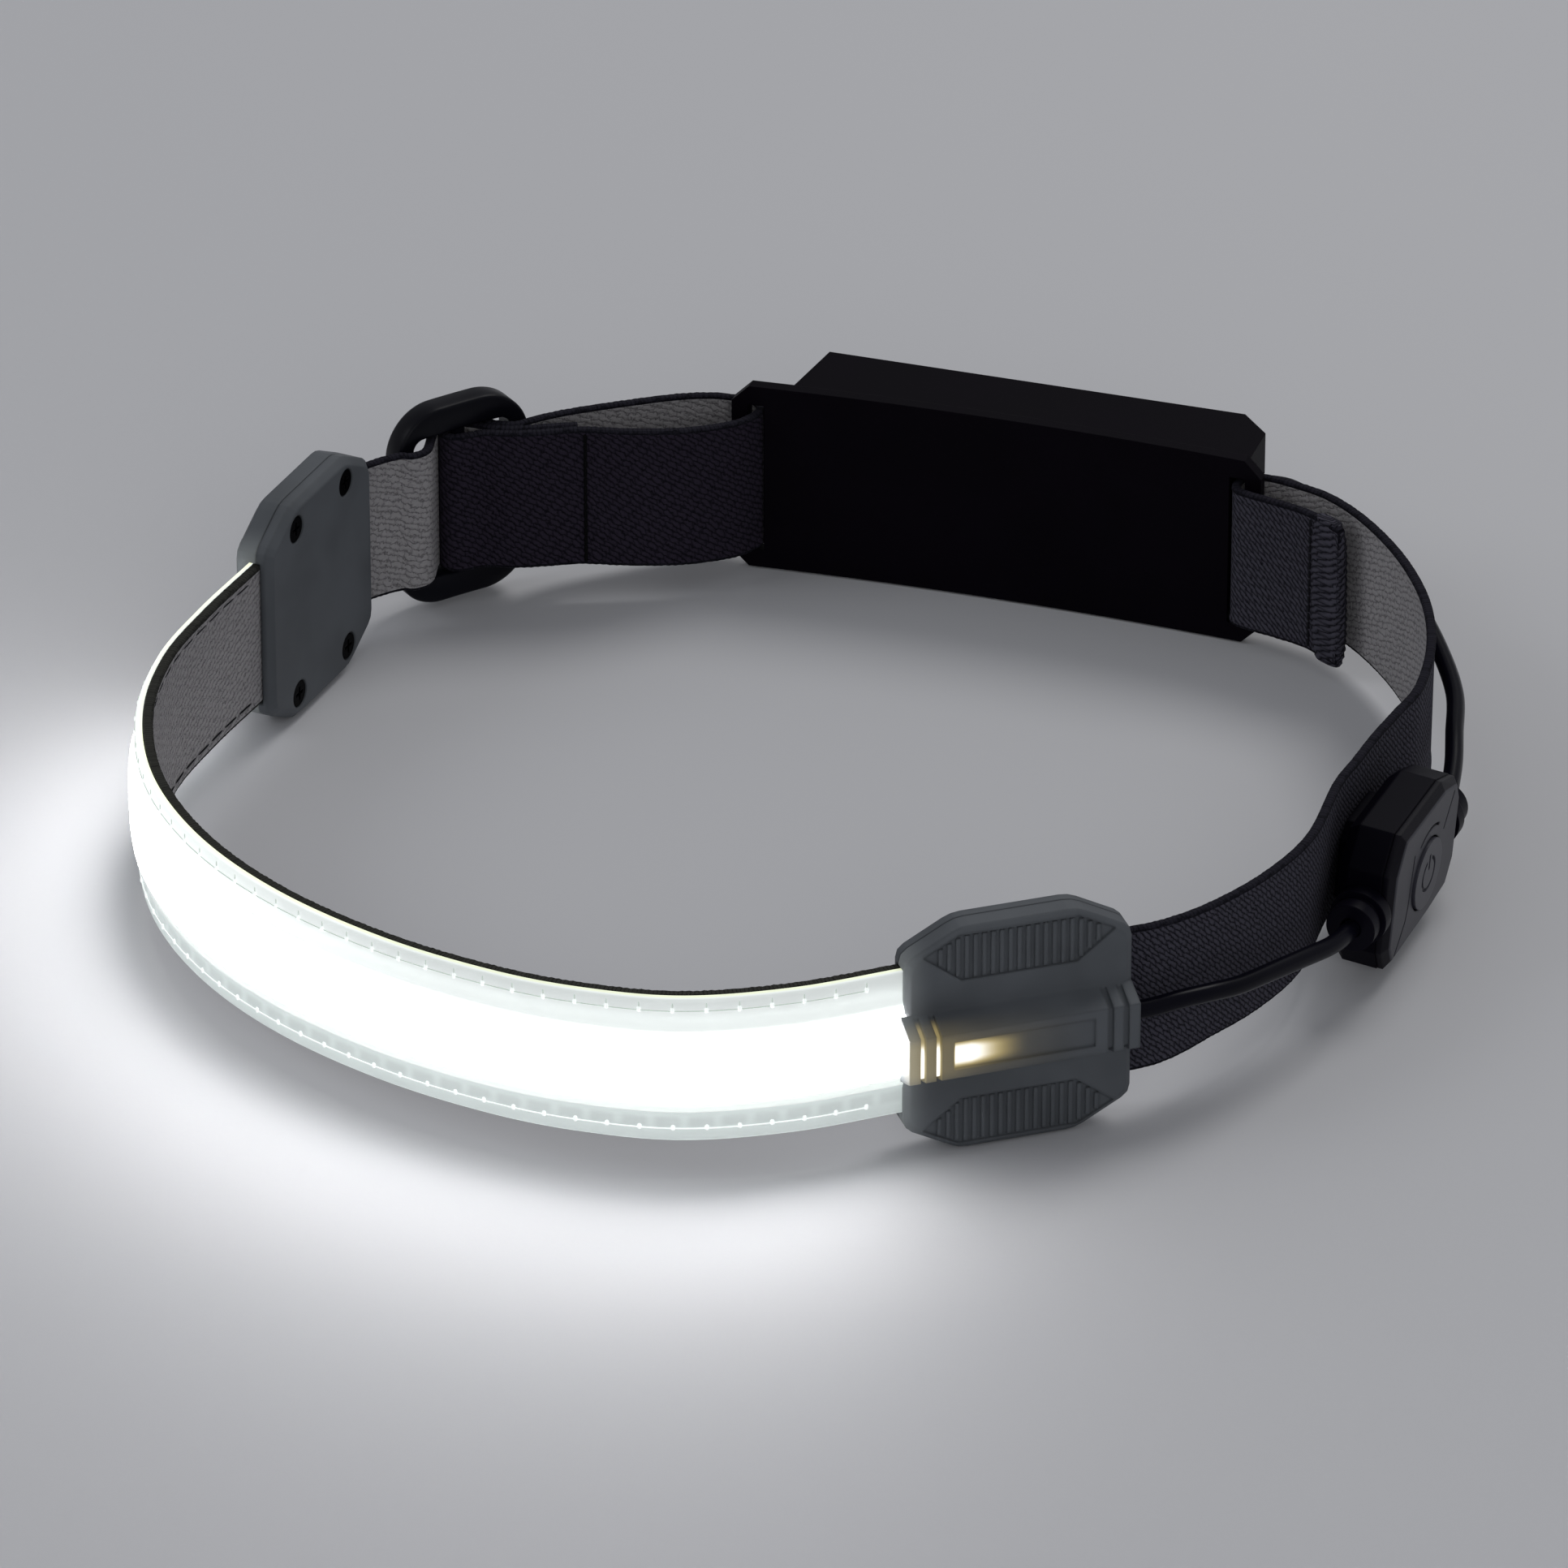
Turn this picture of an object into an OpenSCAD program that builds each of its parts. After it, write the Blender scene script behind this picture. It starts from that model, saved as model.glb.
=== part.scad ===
// Flexible strip headlamp on an elastic band, millimetres.
// The loop stands on the edge of its band, +Z up, the battery pack at +Y and the light strip at -Y.
// Origin: centre of the footprint, on the table.

/* [Band] */
// width of the elastic band
band_w = 20; // [18:0.5:24]
// thickness of the elastic band
band_t = 1.2; // [1:0.1:1.4]

/* [Light strip] */
// overall width of the translucent sleeve
sleeve_w = 20; // [18:0.5:22]
// width of the raised bar over the light board
bar_w = 10.4; // [9:0.2:12]
// height of the raised bar above the band
bar_h = 1.9; // [1.8:0.1:2.2]
// distance between two stitches
stitch_pitch = 3.9; // [3:0.1:5]

/* [Clamps] */
// width of a clamp along the band
clamp_w = 29; // [28:0.5:31]
// height of a clamp
clamp_h = 31; // [30:0.5:34]
// number of ribs in one grip
grip_ribs = 19; // [11:2:21]

/* [Battery pack] */
// length of the tray between its two ends
tray_l = 72; // [72:0.2:73]
// height of the tray
tray_h = 26.6; // [26:0.1:28]
// wall of the battery case
case_wall = 1.4; // [1.2:0.1:1.6]

/* [Switch] */
// diameter of the power button
button_d = 9.4; // [8:0.2:10]
// height of the switch case
switch_h = 19; // [18:0.2:20]

/* [Cable] */
// diameter of the cable
cable_d = 2.4; // [2.2:0.1:2.8]

/* [Hidden] */
$fn = 64;
gap = 0.05;

slate = [0.30, 0.34, 0.36];
black = [0.05, 0.05, 0.06];
charcoal = [0.12, 0.12, 0.14];
band_dark = [0.11, 0.11, 0.15];
milky = [0.93, 0.95, 0.97];
phosphor = [0.95, 0.85, 0.35];
board_green = [0.08, 0.30, 0.18];
steel = [0.65, 0.66, 0.68];
foil = [0.75, 0.76, 0.78];

// height of the band's centreline where a clamp holds it
clamp_z = clamp_h / 2;
// where each clamp sits: centre on the band, and the turn of its long side
right_at = [42.4, -56.7];
right_turn = 36;
left_at = [-76.1, 20.3];
left_turn = 263;
// slider: centre of its middle bar, and its turn
slider_at = [-66, 50];
slider_turn = 50;
slider_z = 15;
slider_t = 3.4;
// switch: centre of the back of its case, and its turn
switch_at = [70.8, 2.65];
switch_turn = 85.5;
switch_z = 11.7;
// lean of the switch, its lower edge towards the inside of the loop
switch_lean = 4.5;
switch_t = 6.1;
cover_t = 1.6;
standoff = 2.2;
// axis of the two cable glands above the back of the case and below its middle
gland_y = 4.1;
gland_z = -0.7;
// height of the button on the face
button_z = -1;
// battery tray: middle, and the faces of its ends
tray_x = 1.1;
tray_y = 69.7;
tray_t = 1.8;
tray_bow = 1.5;
case_back_y = 83;
slot_w = 2.1;
tray_bar_w = 2.2;
// depth of the charging socket and the cable behind the light strip, and the height of the cable
socket_y = 77.6;
cable_exit_z = 19.6;
pipe_x = -20;

// shift that centres the footprint on the origin
centre = [2.7, 0.5, 0];
module placed() {
    translate(centre)
        children();
}

// ---------- routes ----------

function turned(p, a) = [p.x * cos(a) - p.y * sin(a), p.x * sin(a) + p.y * cos(a)];
function from_slider(p, z) =
    let (q = slider_at + turned(p, slider_turn)) [q.x, q.y, z];
function from_clamp(at, turn, p, z) =
    let (q = at + turned(p, turn)) [q.x, q.y, z];
function from_switch(p, z) =
    let (q = switch_at + turned(p, switch_turn)) [q.x, q.y, z];

// light strip, from the left clamp round the front to the right clamp
light_route = [
    from_clamp(left_at, left_turn, [10, 0], clamp_z),
    from_clamp(left_at, left_turn, [14.5, 0], clamp_z),
    [-79.6, -7, clamp_z], [-80.2, -20, clamp_z], [-77.6, -34, clamp_z], [-70.7, -48.8, clamp_z],
    [-60, -61.2, clamp_z], [-46.6, -70.6, clamp_z], [-31, -77.2, clamp_z], [-16, -80.6, clamp_z],
    [-4, -81.2, clamp_z], [8, -79.4, clamp_z], [20, -73.4, clamp_z],
    from_clamp(right_at, right_turn, [-14.5, 0], clamp_z),
    from_clamp(right_at, right_turn, [-10, 0], clamp_z)
];

// right band, from the right clamp past the switch and round the right bar of the tray
right_route = [
    from_clamp(right_at, right_turn, [10, 0], clamp_z),
    from_clamp(right_at, right_turn, [14.5, 0], clamp_z),
    [58, -44.6, 15.4], [62, -38.6, 15.3], [66.2, -29, 15.1], [68.6, -18, 14.9],
    from_switch([-7, 2.2], 14.6), from_switch([0, 2.2], 14.5), from_switch([7, 2.2], 14.4),
    [70, 16.4, 14.3], [70.9, 24, 14.2],
    [69.4, 35.4, 14], [65.8, 46.2, 13.7], [60, 56.4, 13.5], [53, 65, 13.3],
    [46.5, 70.4, 13.2], [41, 72.6, 13.1], [37.6, 73.3, 13.1], [35.4, 73.2, 13.1],
    [34.1, 72.3, 13.1], [33.7, 70.6, 13.1], [34.2, 69, 13.1], [35.9, 68.2, 13.1],
    [40, 67.4, 13.0], [44.8, 66.2, 12.8], [49.6, 63.6, 12.4]
];

// left band, from the left clamp through the slider, round the left bar of the tray and back to the slider
left_route = concat(
    [
        from_clamp(left_at, left_turn, [-10, 0], clamp_z),
        from_clamp(left_at, left_turn, [-14.5, 0], clamp_z),
        [-72.9, 37.6, 15.4], [-70.6, 40.6, 15.2]
    ],
    [for (p = [[-8.6, -3.1], [-6.2, -2.7], [-3.2, 0.8], [0, 3.3],
        [3, 2.1], [5.2, -1], [7.4, -2.7], [10.6, -2.8]])
        from_slider(p, slider_z)],
    [
        [-53.8, 60.2, 14.6], [-48, 65.3, 14.2], [-42.4, 69.8, 13.8], [-38.4, 72.3, 13.4],
        [-35.6, 73.2, 13.1], [-33.5, 73.2, 13.1], [-31.9, 72.3, 13.1], [-31.35, 70.7, 13.1],
        [-31.6, 69, 13.2], [-33, 66, 13.4], [-35.8, 62.8, 13.8], [-39.4, 59.9, 14.2],
        [-45, 57.4, 14.5]
    ],
    [for (p = [[14, -8.6], [11, -7.2], [8, -5.9], [5.2, -4.4], [2.6, -2.5], [0, -1.95],
        [-1.5, -1.4], [-2.05, 0], [-1.5, 1.4], [0, 1.95], [1.4, 1.5], [2.8, 0],
        [5.2, -2.8], [8, -4.4], [11, -5.7], [14, -7.1]])
        from_slider(p, slider_z)]
);

// cable from the right clamp to the near end of the switch
front_cable_route = [
    from_clamp(right_at, right_turn, [13, -2.75], clamp_z),
    from_clamp(right_at, right_turn, [17, -2.75], clamp_z),
    [60.8, -46.2, 15.7], [63.5, -42.9, 15.3], [66, -38.6, 14.4], [68.4, -32.6, 13.4],
    [70.8, -26, 12.2], [72.6, -20.6, 11.2],
    from_switch([-18.2, -gland_y], 10.72),
    from_switch([-14.8, -gland_y], 10.68)
];

// cable from the far end of the switch to the side of the battery case
rear_cable_route = [
    from_switch([13.8, -gland_y], 10.68),
    from_switch([17.2, -gland_y], 10.72),
    [75, 27, 11.4], [73.2, 34, 12.2], [70.7, 43, 12.8], [65.9, 52.2, 14], [59.9, 60.8, 15.6],
    [53, 68.3, 17.4], [45, 74.2, 19], [39.4, 77.2, cable_exit_z], [36.4, socket_y, cable_exit_z]
];

// ---------- sweeps ----------

function blend_at(a, b, c, d, t) =
    0.5 * ((2 * b) + (c - a) * t + (2 * a - 5 * b + 4 * c - d) * t * t
        + (3 * b - a - 3 * c + d) * t * t * t);
function smooth(p, n) =
    let (m = len(p))
    concat(
        [for (i = [0 : m - 2], k = [0 : n - 1])
            blend_at(p[max(i - 1, 0)], p[i], p[i + 1], p[min(i + 2, m - 1)], k / n)],
        [p[m - 1]]
    );
function unit(v) = v / norm(v);
function heading(p, i) = unit(p[min(i + 1, len(p) - 1)] - p[max(i - 1, 0)]);
// horizontal direction pointing out of the loop, for a route that runs round it anticlockwise
function outward(p, i) =
    let (h = heading(p, i)) unit([h.y, -h.x, 0]);

// closed skin over rings of equal length; caps splits a hollowed end face into convex parts
module skin(rings, caps = []) {
    n = len(rings[0]);
    m = len(rings);
    parts = len(caps) > 0 ? caps : [[for (j = [0 : n - 1]) j]];
    polyhedron(
        points = [for (r = rings) for (q = r) q],
        faces = concat(
            parts,
            [for (i = [0 : m - 2], j = [0 : n - 1])
                [i * n + j, (i + 1) * n + j, (i + 1) * n + (j + 1) % n, i * n + (j + 1) % n]],
            [for (c = parts) [for (j = [len(c) - 1 : -1 : 0]) (m - 1) * n + c[j]]]
        ),
        convexity = 12
    );
}

// profile points are [out of the loop, up] from the route
module ribbon(path, profile, caps = []) {
    skin([for (i = [0 : len(path) - 1])
        let (o = outward(path, i)) [for (q = profile) path[i] + q.x * o + [0, 0, q.y]]], caps);
}

function ease(t) =
    let (q = min(max(t, 0), 1)) q * q * (3 - 2 * q);
// lean of the right band beside the switch: distance between its edges, seen from above
function lean_at(p) = 1.6 * ease((p.y + 48) / 12) * ease((44 - p.y) / 30);
// band whose lower edge leans towards the inside of the loop
module leaning_ribbon(path, profile) {
    skin([for (i = [0 : len(path) - 1])
        let (o = outward(path, i))
        [for (q = profile) path[i] + (q.x + lean_at(path[i]) * (q.y / band_w - 0.3)) * o + [0, 0, q.y]]]);
}

module tube(path, r, sides) {
    skin([for (i = [0 : len(path) - 1])
        let (h = heading(path, i))
        let (s = unit(cross(h, [0, 0, 1])))
        let (u = cross(s, h))
        [for (k = [0 : sides - 1]) path[i] + r * (cos(360 * k / sides) * s + sin(360 * k / sides) * u)]]);
}

function plain(w, t) = [[-t / 2, -w / 2], [t / 2, -w / 2], [t / 2, w / 2], [-t / 2, w / 2]];
// part of a path between two fractions of its points
function part_of(p, a, b) =
    let (n = len(p) - 1) [for (i = [round(a * n) : round(b * n)]) p[i]];

light_path = smooth(light_route, 5);
right_path = smooth(right_route, 4);
left_path = smooth(left_route, 4);

// ---------- light strip ----------

module front_band() {
    color(band_dark) placed()
        ribbon(light_path, plain(band_w, band_t));
}

// sleeve with a raised bar, hollow behind the bar
module light_sleeve() {
    y0 = band_t / 2 + gap;
    half = sleeve_w / 2;
    b = bar_w / 2;
    color(milky) placed()
        ribbon(light_path, [
            [y0, -half], [y0 + 0.7, -half], [y0 + 0.9, -half + 0.4], [y0 + 0.9, -b - 0.6],
            [y0 + bar_h - 0.7, -b + 0.3], [y0 + bar_h - 0.1, -b + 1.4], [y0 + bar_h, 0],
            [y0 + bar_h - 0.1, b - 1.4], [y0 + bar_h - 0.7, b - 0.3], [y0 + 0.9, b + 0.6],
            [y0 + 0.9, half - 0.4], [y0 + 0.7, half], [y0, half],
            [y0, b - 1], [y0 + bar_h - 0.75, b - 1.2], [y0 + bar_h - 0.75, -b + 1.2], [y0, -b + 1]
        ], [[16, 0, 1, 2, 3], [16, 3, 4, 15], [15, 4, 5, 6, 7, 8, 14], [8, 9, 13, 14], [9, 10, 11, 12, 13]]);
}

module light_board() {
    y0 = band_t / 2 + gap;
    b = bar_w / 2 - 1.35;
    color(phosphor) placed()
        ribbon(part_of(light_path, 0.03, 0.97), [
            [y0, -b], [y0 + 0.8, -b], [y0 + bar_h - 0.85, -b + 0.8],
            [y0 + bar_h - 0.85, b - 0.8], [y0 + 0.8, b], [y0, b]
        ]);
}

// one row of lock stitches along both edges of the sleeve
module sleeve_stitches() {
    path = part_of(light_path, 0.07, 0.93);
    steps = [for (i = [1 : len(path) - 1]) norm(path[i] - path[i - 1])];
    run = [for (i = 0, s = 0; i < len(path); s = s + (i < len(steps) ? steps[i] : 0), i = i + 1) s];
    count = floor(run[len(run) - 1] / stitch_pitch);
    color(milky) placed()
        for (k = [1 : count - 1]) {
            s = k * stitch_pitch;
            i = [for (j = [1 : len(run) - 1]) if (run[j] >= s) j][0];
            t = (s - run[i - 1]) / (run[i] - run[i - 1]);
            at = path[i - 1] + t * (path[i] - path[i - 1]);
            h = unit(path[i] - path[i - 1]);
            for (side = [-1, 1])
                translate(at + [0, 0, side * (sleeve_w / 2 - 2)])
                    rotate([0, 0, atan2(h.y, h.x)])
                        translate([-stitch_pitch * 0.38, -band_t / 2 - gap - 1.24, -0.15])
                            cube([stitch_pitch * 0.76, 0.3, 0.3]);
        }
}

// ---------- clamps ----------

chamfer_x = 7;
chamfer_z = 3.8;
corner = 1.2;
screw_x = 7;
screw_z = 12;

function octagon(w, h, cx, cz) = [
    [-w / 2, -h / 2 + cz], [-w / 2 + cx, -h / 2], [w / 2 - cx, -h / 2], [w / 2, -h / 2 + cz],
    [w / 2, h / 2 - cz], [w / 2 - cx, h / 2], [-w / 2 + cx, h / 2], [-w / 2, h / 2 - cz]
];

// outline with each corner cut back by r and eased by a point between
function softened(p, r) = [
    for (i = [0 : len(p) - 1])
        let (b = p[i], u = unit(p[(i + len(p) - 1) % len(p)] - b), v = unit(p[(i + 1) % len(p)] - b))
        each [b + u * r, b + (u + v) * r / 4, b + v * r]
];
function clamp_outline(shrink) =
    let (cx = chamfer_x - shrink * 0.2, cz = chamfer_z - shrink * 0.1)
    softened(octagon(clamp_w - shrink, clamp_h - shrink, cx, cz), corner);

// places a clamp: x along the band, y out of the loop, z up
module at_clamp(at, turn) {
    translate([at.x, at.y, clamp_z])
        rotate([0, 0, turn])
            scale([1, -1, 1])
                children();
}

// upright slab with the outline given in x and z, from y to y + t
module slab(outline, y, t) {
    translate([0, y + t, 0])
        rotate([90, 0, 0])
            linear_extrude(t)
                polygon(outline);
}

// half-octagon rib along x with the given half height, front half height and rise
module channel(l, base, front, rise) {
    translate([-l / 2, 0, 0])
        rotate([90, 0, 90])
            linear_extrude(l)
                polygon([[0, -base], [rise, -front], [rise, front], [0, base]]);
}

outer_t = 3;
inner_t = 2.2;
channel_l = clamp_w + 0.5;
// offset of the channel towards the end where the light strip comes in
channel_shift = 0.4;
channel_rise = 3.5;
band_room = band_t / 2 + 0.1;

// recess for a grip, its rim and its floor
module grip_recess(side) {
    scale([1, 1, side])
        slab([
            [-7.6, clamp_h / 2 - 0.9], [-clamp_w / 2 + 2.2, clamp_h / 2 - 3.4], [-7.4, clamp_h / 2 - 7.2],
            [7.4, clamp_h / 2 - 7.2], [clamp_w / 2 - 2.2, clamp_h / 2 - 3.4], [7.6, clamp_h / 2 - 0.9]
        ], outer_t - 0.4, 1);
}

// upright ribs that fill the recess
module grip_bars(side) {
    pitch = (clamp_w - 7.7) / grip_ribs;
    scale([1, 1, side])
        for (i = [0 : grip_ribs - 1]) {
            x = (i - (grip_ribs - 1) / 2) * pitch;
            reach = max(0, abs(x) - 7.3);
            top = clamp_h / 2 - 1.1 - reach * 0.5;
            bottom = clamp_h / 2 - 7 + reach * 0.8;
            if (top - bottom > 1)
                translate([x - pitch * 0.25, outer_t - 0.5, bottom])
                    cube([pitch * 0.5, 0.42, top - bottom]);
        }
}

// outer half: plate, raised cable channel, grips, screw posts. entry is the side the light strip comes in
module clamp_shell(entry) {
    difference() {
        union() {
            difference() {
                union() {
                    slab(clamp_outline(0), gap, outer_t - 0.6 - gap);
                    hull() {
                        slab(clamp_outline(0), outer_t - 0.62, 0.02);
                        slab(clamp_outline(1.4), outer_t - 0.02, 0.02);
                    }
                }
                grip_recess(1);
                grip_recess(-1);
            }
            grip_bars(1);
            grip_bars(-1);
            translate([entry * channel_shift, outer_t - 0.1, 0])
                channel(channel_l, 4.5, 3.1, channel_rise + 0.1);
        }
        // long shallow panel on the face of the channel
        translate([entry * channel_shift - 9, outer_t + channel_rise - 0.35, -1.9])
            cube([18, 1, 3.8]);
        // two ring grooves at each end of the channel
        for (x = [-13, -11, 11, 13])
            translate([entry * channel_shift + x, 0, 0])
                difference() {
                    translate([-0.35, outer_t + 0.3, -5])
                        cube([0.7, channel_rise + 1, 10]);
                    translate([0, outer_t - 0.4, 0])
                        channel(1, 4.3, 2.7, channel_rise - 0.1);
                }
        // seat of the band
        translate([-clamp_w, -1, -band_w / 2 - 0.2])
            cube([2 * clamp_w, band_room + 1, band_w + 0.4]);
        // mouth of the light strip
        translate([entry > 0 ? 9.5 : -clamp_w + 0.5, 0, -sleeve_w / 2 - 0.2])
            cube([clamp_w - 10, band_t / 2 + 1.1, sleeve_w + 0.4]);
        translate([entry > 0 ? 9.5 : -clamp_w + 0.5, 0, 0])
            channel_room(clamp_w - 10);
        // room for the wiring under the channel
        translate([-11.5, 0, -2.4])
            cube([23, outer_t + channel_rise - 1.3, 4.8]);
        // cable passage
        translate([-entry * 20, 2.75, 0])
            rotate([0, 90, 0])
                cylinder(d = cable_d + 0.3, h = 22, center = true);
        // pilot holes of the screws
        for (x = [-screw_x, screw_x], z = [-screw_z, screw_z])
            translate([x, 0, z])
                rotate([-90, 0, 0])
                    cylinder(d = 1.6, h = 4, center = true, $fn = 24);
    }
}

// tapered room for the raised bar of the sleeve
module channel_room(l) {
    b = bar_w / 2;
    shoulder = band_t / 2 + 1.1;
    top = band_t / 2 + bar_h + 0.3;
    rotate([90, 0, 90])
        linear_extrude(l)
            polygon([
                [0, -b - 1], [shoulder, -b - 1], [top - 0.7, -b], [top, -b + 1.3],
                [top, b - 1.3], [top - 0.7, b], [shoulder, b + 1], [0, b + 1]
            ]);
}

// inner half: bevelled plate with four counterbored holes
module clamp_back() {
    difference() {
        union() {
            slab(clamp_outline(0), -1.3, 1.3 - gap);
            hull() {
                slab(clamp_outline(0), -1.32, 0.02);
                slab(clamp_outline(1.8), -inner_t, 0.02);
            }
        }
        translate([-clamp_w, -band_room, -band_w / 2 - 0.2])
            cube([2 * clamp_w, band_room + 1, band_w + 0.4]);
        for (x = [-screw_x, screw_x], z = [-screw_z, screw_z])
            translate([x, 0, z])
                rotate([90, 0, 0]) {
                    cylinder(d = 2.1, h = 6, center = true, $fn = 24);
                    translate([0, 0, 1.2])
                        cylinder(d = 3.8, h = 4);
                }
    }
}

// four cross-recessed screws
module clamp_screws() {
    for (x = [-screw_x, screw_x], z = [-screw_z, screw_z])
        translate([x, 0, z])
            rotate([90, 0, 0])
                difference() {
                    union() {
                        translate([0, 0, 1.25])
                            cylinder(d = 3.4, h = 0.85);
                        translate([0, 0, -1.6])
                            cylinder(d = 1.5, h = 2.9, $fn = 24);
                    }
                    for (a = [0, 90])
                        rotate([0, 0, a])
                            translate([-0.95, -0.2, 1.6])
                                cube([1.9, 0.4, 1]);
                }
}

module right_clamp_shell() {
    color(slate) placed()
        at_clamp(right_at, right_turn)
            clamp_shell(-1);
}

module right_clamp_back() {
    color(slate) placed()
        at_clamp(right_at, right_turn)
            clamp_back();
}

module right_clamp_screws() {
    color(charcoal) placed()
        at_clamp(right_at, right_turn)
            clamp_screws();
}

module left_clamp_shell() {
    color(slate) placed()
        at_clamp(left_at, left_turn)
            clamp_shell(1);
}

module left_clamp_back() {
    color(slate) placed()
        at_clamp(left_at, left_turn)
            clamp_back();
}

module left_clamp_screws() {
    color(charcoal) placed()
        at_clamp(left_at, left_turn)
            clamp_screws();
}

// small board that joins the light board to the cable, with its resistor
module driver_board() {
    color(board_green) placed()
        at_clamp(right_at, right_turn) {
            translate([-8.5, 1.6, -2.1])
                cube([16, 0.8, 4.2]);
            for (x = [-6.5, -2.5, 1.5])
                translate([x, 2.4, -1])
                    cube([2.4, 0.9, 2]);
        }
}

// ---------- bands and slider ----------

module right_band() {
    color(band_dark) placed()
        leaning_ribbon(right_path, plain(band_w, band_t));
}

module left_band() {
    color(band_dark) placed()
        ribbon(left_path, plain(band_w, band_t));
}

// three-bar slider with a rounded frame
module slider() {
    color(black) placed()
        translate([slider_at.x, slider_at.y, slider_z])
            rotate([0, 0, slider_turn]) {
                rotate([90, 0, 0])
                    linear_extrude(slider_t, center = true)
                        difference() {
                            rounded(20, 28.4, 6.8);
                            rounded(14.6, 20.8, 1.6);
                        }
                cylinder(d = 2, h = 21.4, center = true, $fn = 32);
            }
}

// rectangle with round corners, exact arcs
module rounded(w, h, r) {
    square([w - 2 * r, h], center = true);
    square([w, h - 2 * r], center = true);
    for (x = [-1, 1], y = [-1, 1])
        translate([x * (w / 2 - r), y * (h / 2 - r)])
            circle(r);
}

// ---------- battery pack ----------

// bowed tray with a slot beside each end bar
module battery_tray() {
    r = tray_l * tray_l / (8 * tray_bow);
    mid_y = tray_y + tray_bow;
    color(charcoal) placed()
        intersection() {
            translate([tray_x, mid_y + 6, tray_h / 2])
                rotate([90, 0, 0])
                    linear_extrude(12)
                        difference() {
                            polygon(octagon(tray_l, tray_h, 2.3, 2.3));
                            for (s = [-1, 1])
                                translate([s * (tray_l / 2 - tray_bar_w - slot_w / 2), -0.1])
                                    square([slot_w, 21.4], center = true);
                        }
            translate([tray_x, mid_y - r, -1])
                difference() {
                    cylinder(r = r + tray_t, h = tray_h + 2, $fn = 200);
                    translate([0, 0, -1])
                        cylinder(r = r, h = tray_h + 4, $fn = 200);
                }
        }
}

// plan of the battery case, w is the wall taken off all round
function case_plan(w) = [
    [-27.6 + w, 70], [-25.7 + w * 1.1, case_back_y - w], [31.1 - w * 0.6, case_back_y - w],
    [35.1 - w, 78.7 - w * 0.4], [35.1 - w, 74.5 + w], [31 - w, 74.5 + w], [31 - w, 70]
];

module battery_case() {
    r = tray_l * tray_l / (8 * tray_bow);
    color(charcoal) placed()
        difference() {
            union() {
                translate([0, 0, 0.3])
                    linear_extrude(tray_h - 0.6)
                        polygon(case_plan(0));
                // lip over the strap, level with the top of the case
                translate([30, 70, tray_h - 2.5])
                    cube([5.1, 5, 2.2]);
            }
            translate([0, 0, 0.3 + case_wall])
                linear_extrude(tray_h - 0.6 - 2 * case_wall)
                    polygon(case_plan(case_wall));
            // clear of the back of the tray
            translate([tray_x, tray_y + tray_bow - r, -1])
                cylinder(r = r + tray_t + gap, h = tray_h + 2, $fn = 200);
            // opening of the charging socket
            translate([-30, socket_y, tray_h / 2])
                rotate([0, 90, 0])
                    linear_extrude(8)
                        rounded(9.4, 3.7, 1.6);
            // seat of the socket cover
            translate([-29.6, 74.6, tray_h / 2 - 6.6])
                cube([2.9, 6, 13.2]);
            // cable passage
            translate([35, socket_y, cable_exit_z])
                rotate([0, 90, 0])
                    cylinder(d = cable_d + 0.4, h = 6, center = true);
            // light pipe hole
            translate([pipe_x, case_back_y, tray_h / 2])
                rotate([90, 0, 0])
                    cylinder(d = 2.1, h = 6, center = true);
        }
}

module battery_cell() {
    color(foil) placed()
        translate([-15, 74.3, 3.4])
            cube([42, 6.6, 19.6]);
}

module charge_board() {
    color(board_green) placed()
        translate([-22.2, 80.4, 3.2]) {
            cube([6.4, 1, 19.8]);
            translate([1.2, -1.2, 2])
                cube([3, 1.2, 3]);
            translate([1.2, -1.2, 13.6])
                cube([3.4, 1.2, 4]);
        }
}

module charge_socket() {
    color(steel) placed()
        translate([-24.8, socket_y, tray_h / 2])
            rotate([0, 90, 0])
                linear_extrude(7)
                    difference() {
                        rounded(9, 3.3, 1.5);
                        rounded(8.4, 2.7, 1.2);
                    }
}

// rubber cover of the charging socket, hinged along its upper edge
module socket_cover() {
    color(black) placed() {
        translate([-27.7, 74.85, tray_h / 2 - 6.3])
            cube([0.9, 5.5, 12.6]);
        translate([-27.25, socket_y, tray_h / 2 + 6.1])
            rotate([90, 0, 0])
                cylinder(d = 0.9, h = 5, center = true, $fn = 24);
        translate([-28.4, 76.6, tray_h / 2 - 6.3])
            cube([0.8, 2, 1.2]);
    }
}

module light_pipe() {
    color(milky) placed()
        translate([pipe_x, case_back_y + 0.1, tray_h / 2])
            rotate([90, 0, 0])
                cylinder(d = 2, h = 1.6, $fn = 32);
}

// ---------- switch ----------

// places switch parts: x along the band, y out of the loop, z up
module at_switch() {
    translate([switch_at.x, switch_at.y, switch_z])
        rotate([0, 0, switch_turn])
            scale([1, -1, 1])
                rotate([-switch_lean, 0, 0])
                    children();
}

function switch_outline(w) =
    let (h = switch_h / 2) [
        [-12.8 + w, -h + 3.2 + w * 0.5], [-11 + w * 0.6, -h + w], [3 - w * 0.1, -h + 0.5 + w],
        [9.4 - w * 0.6, -h + 1.4 + w * 0.8], [11.8 - w, -h + 4.8 + w * 0.4], [11.8 - w, 4.6 - w * 0.1],
        [10.2 - w * 0.8, 7.6 - w * 0.5], [5 - w * 0.3, h - w], [-9.8 + w * 0.5, h - w],
        [-12.8 + w, h - 4.6 - w * 0.5]
    ];

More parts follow.
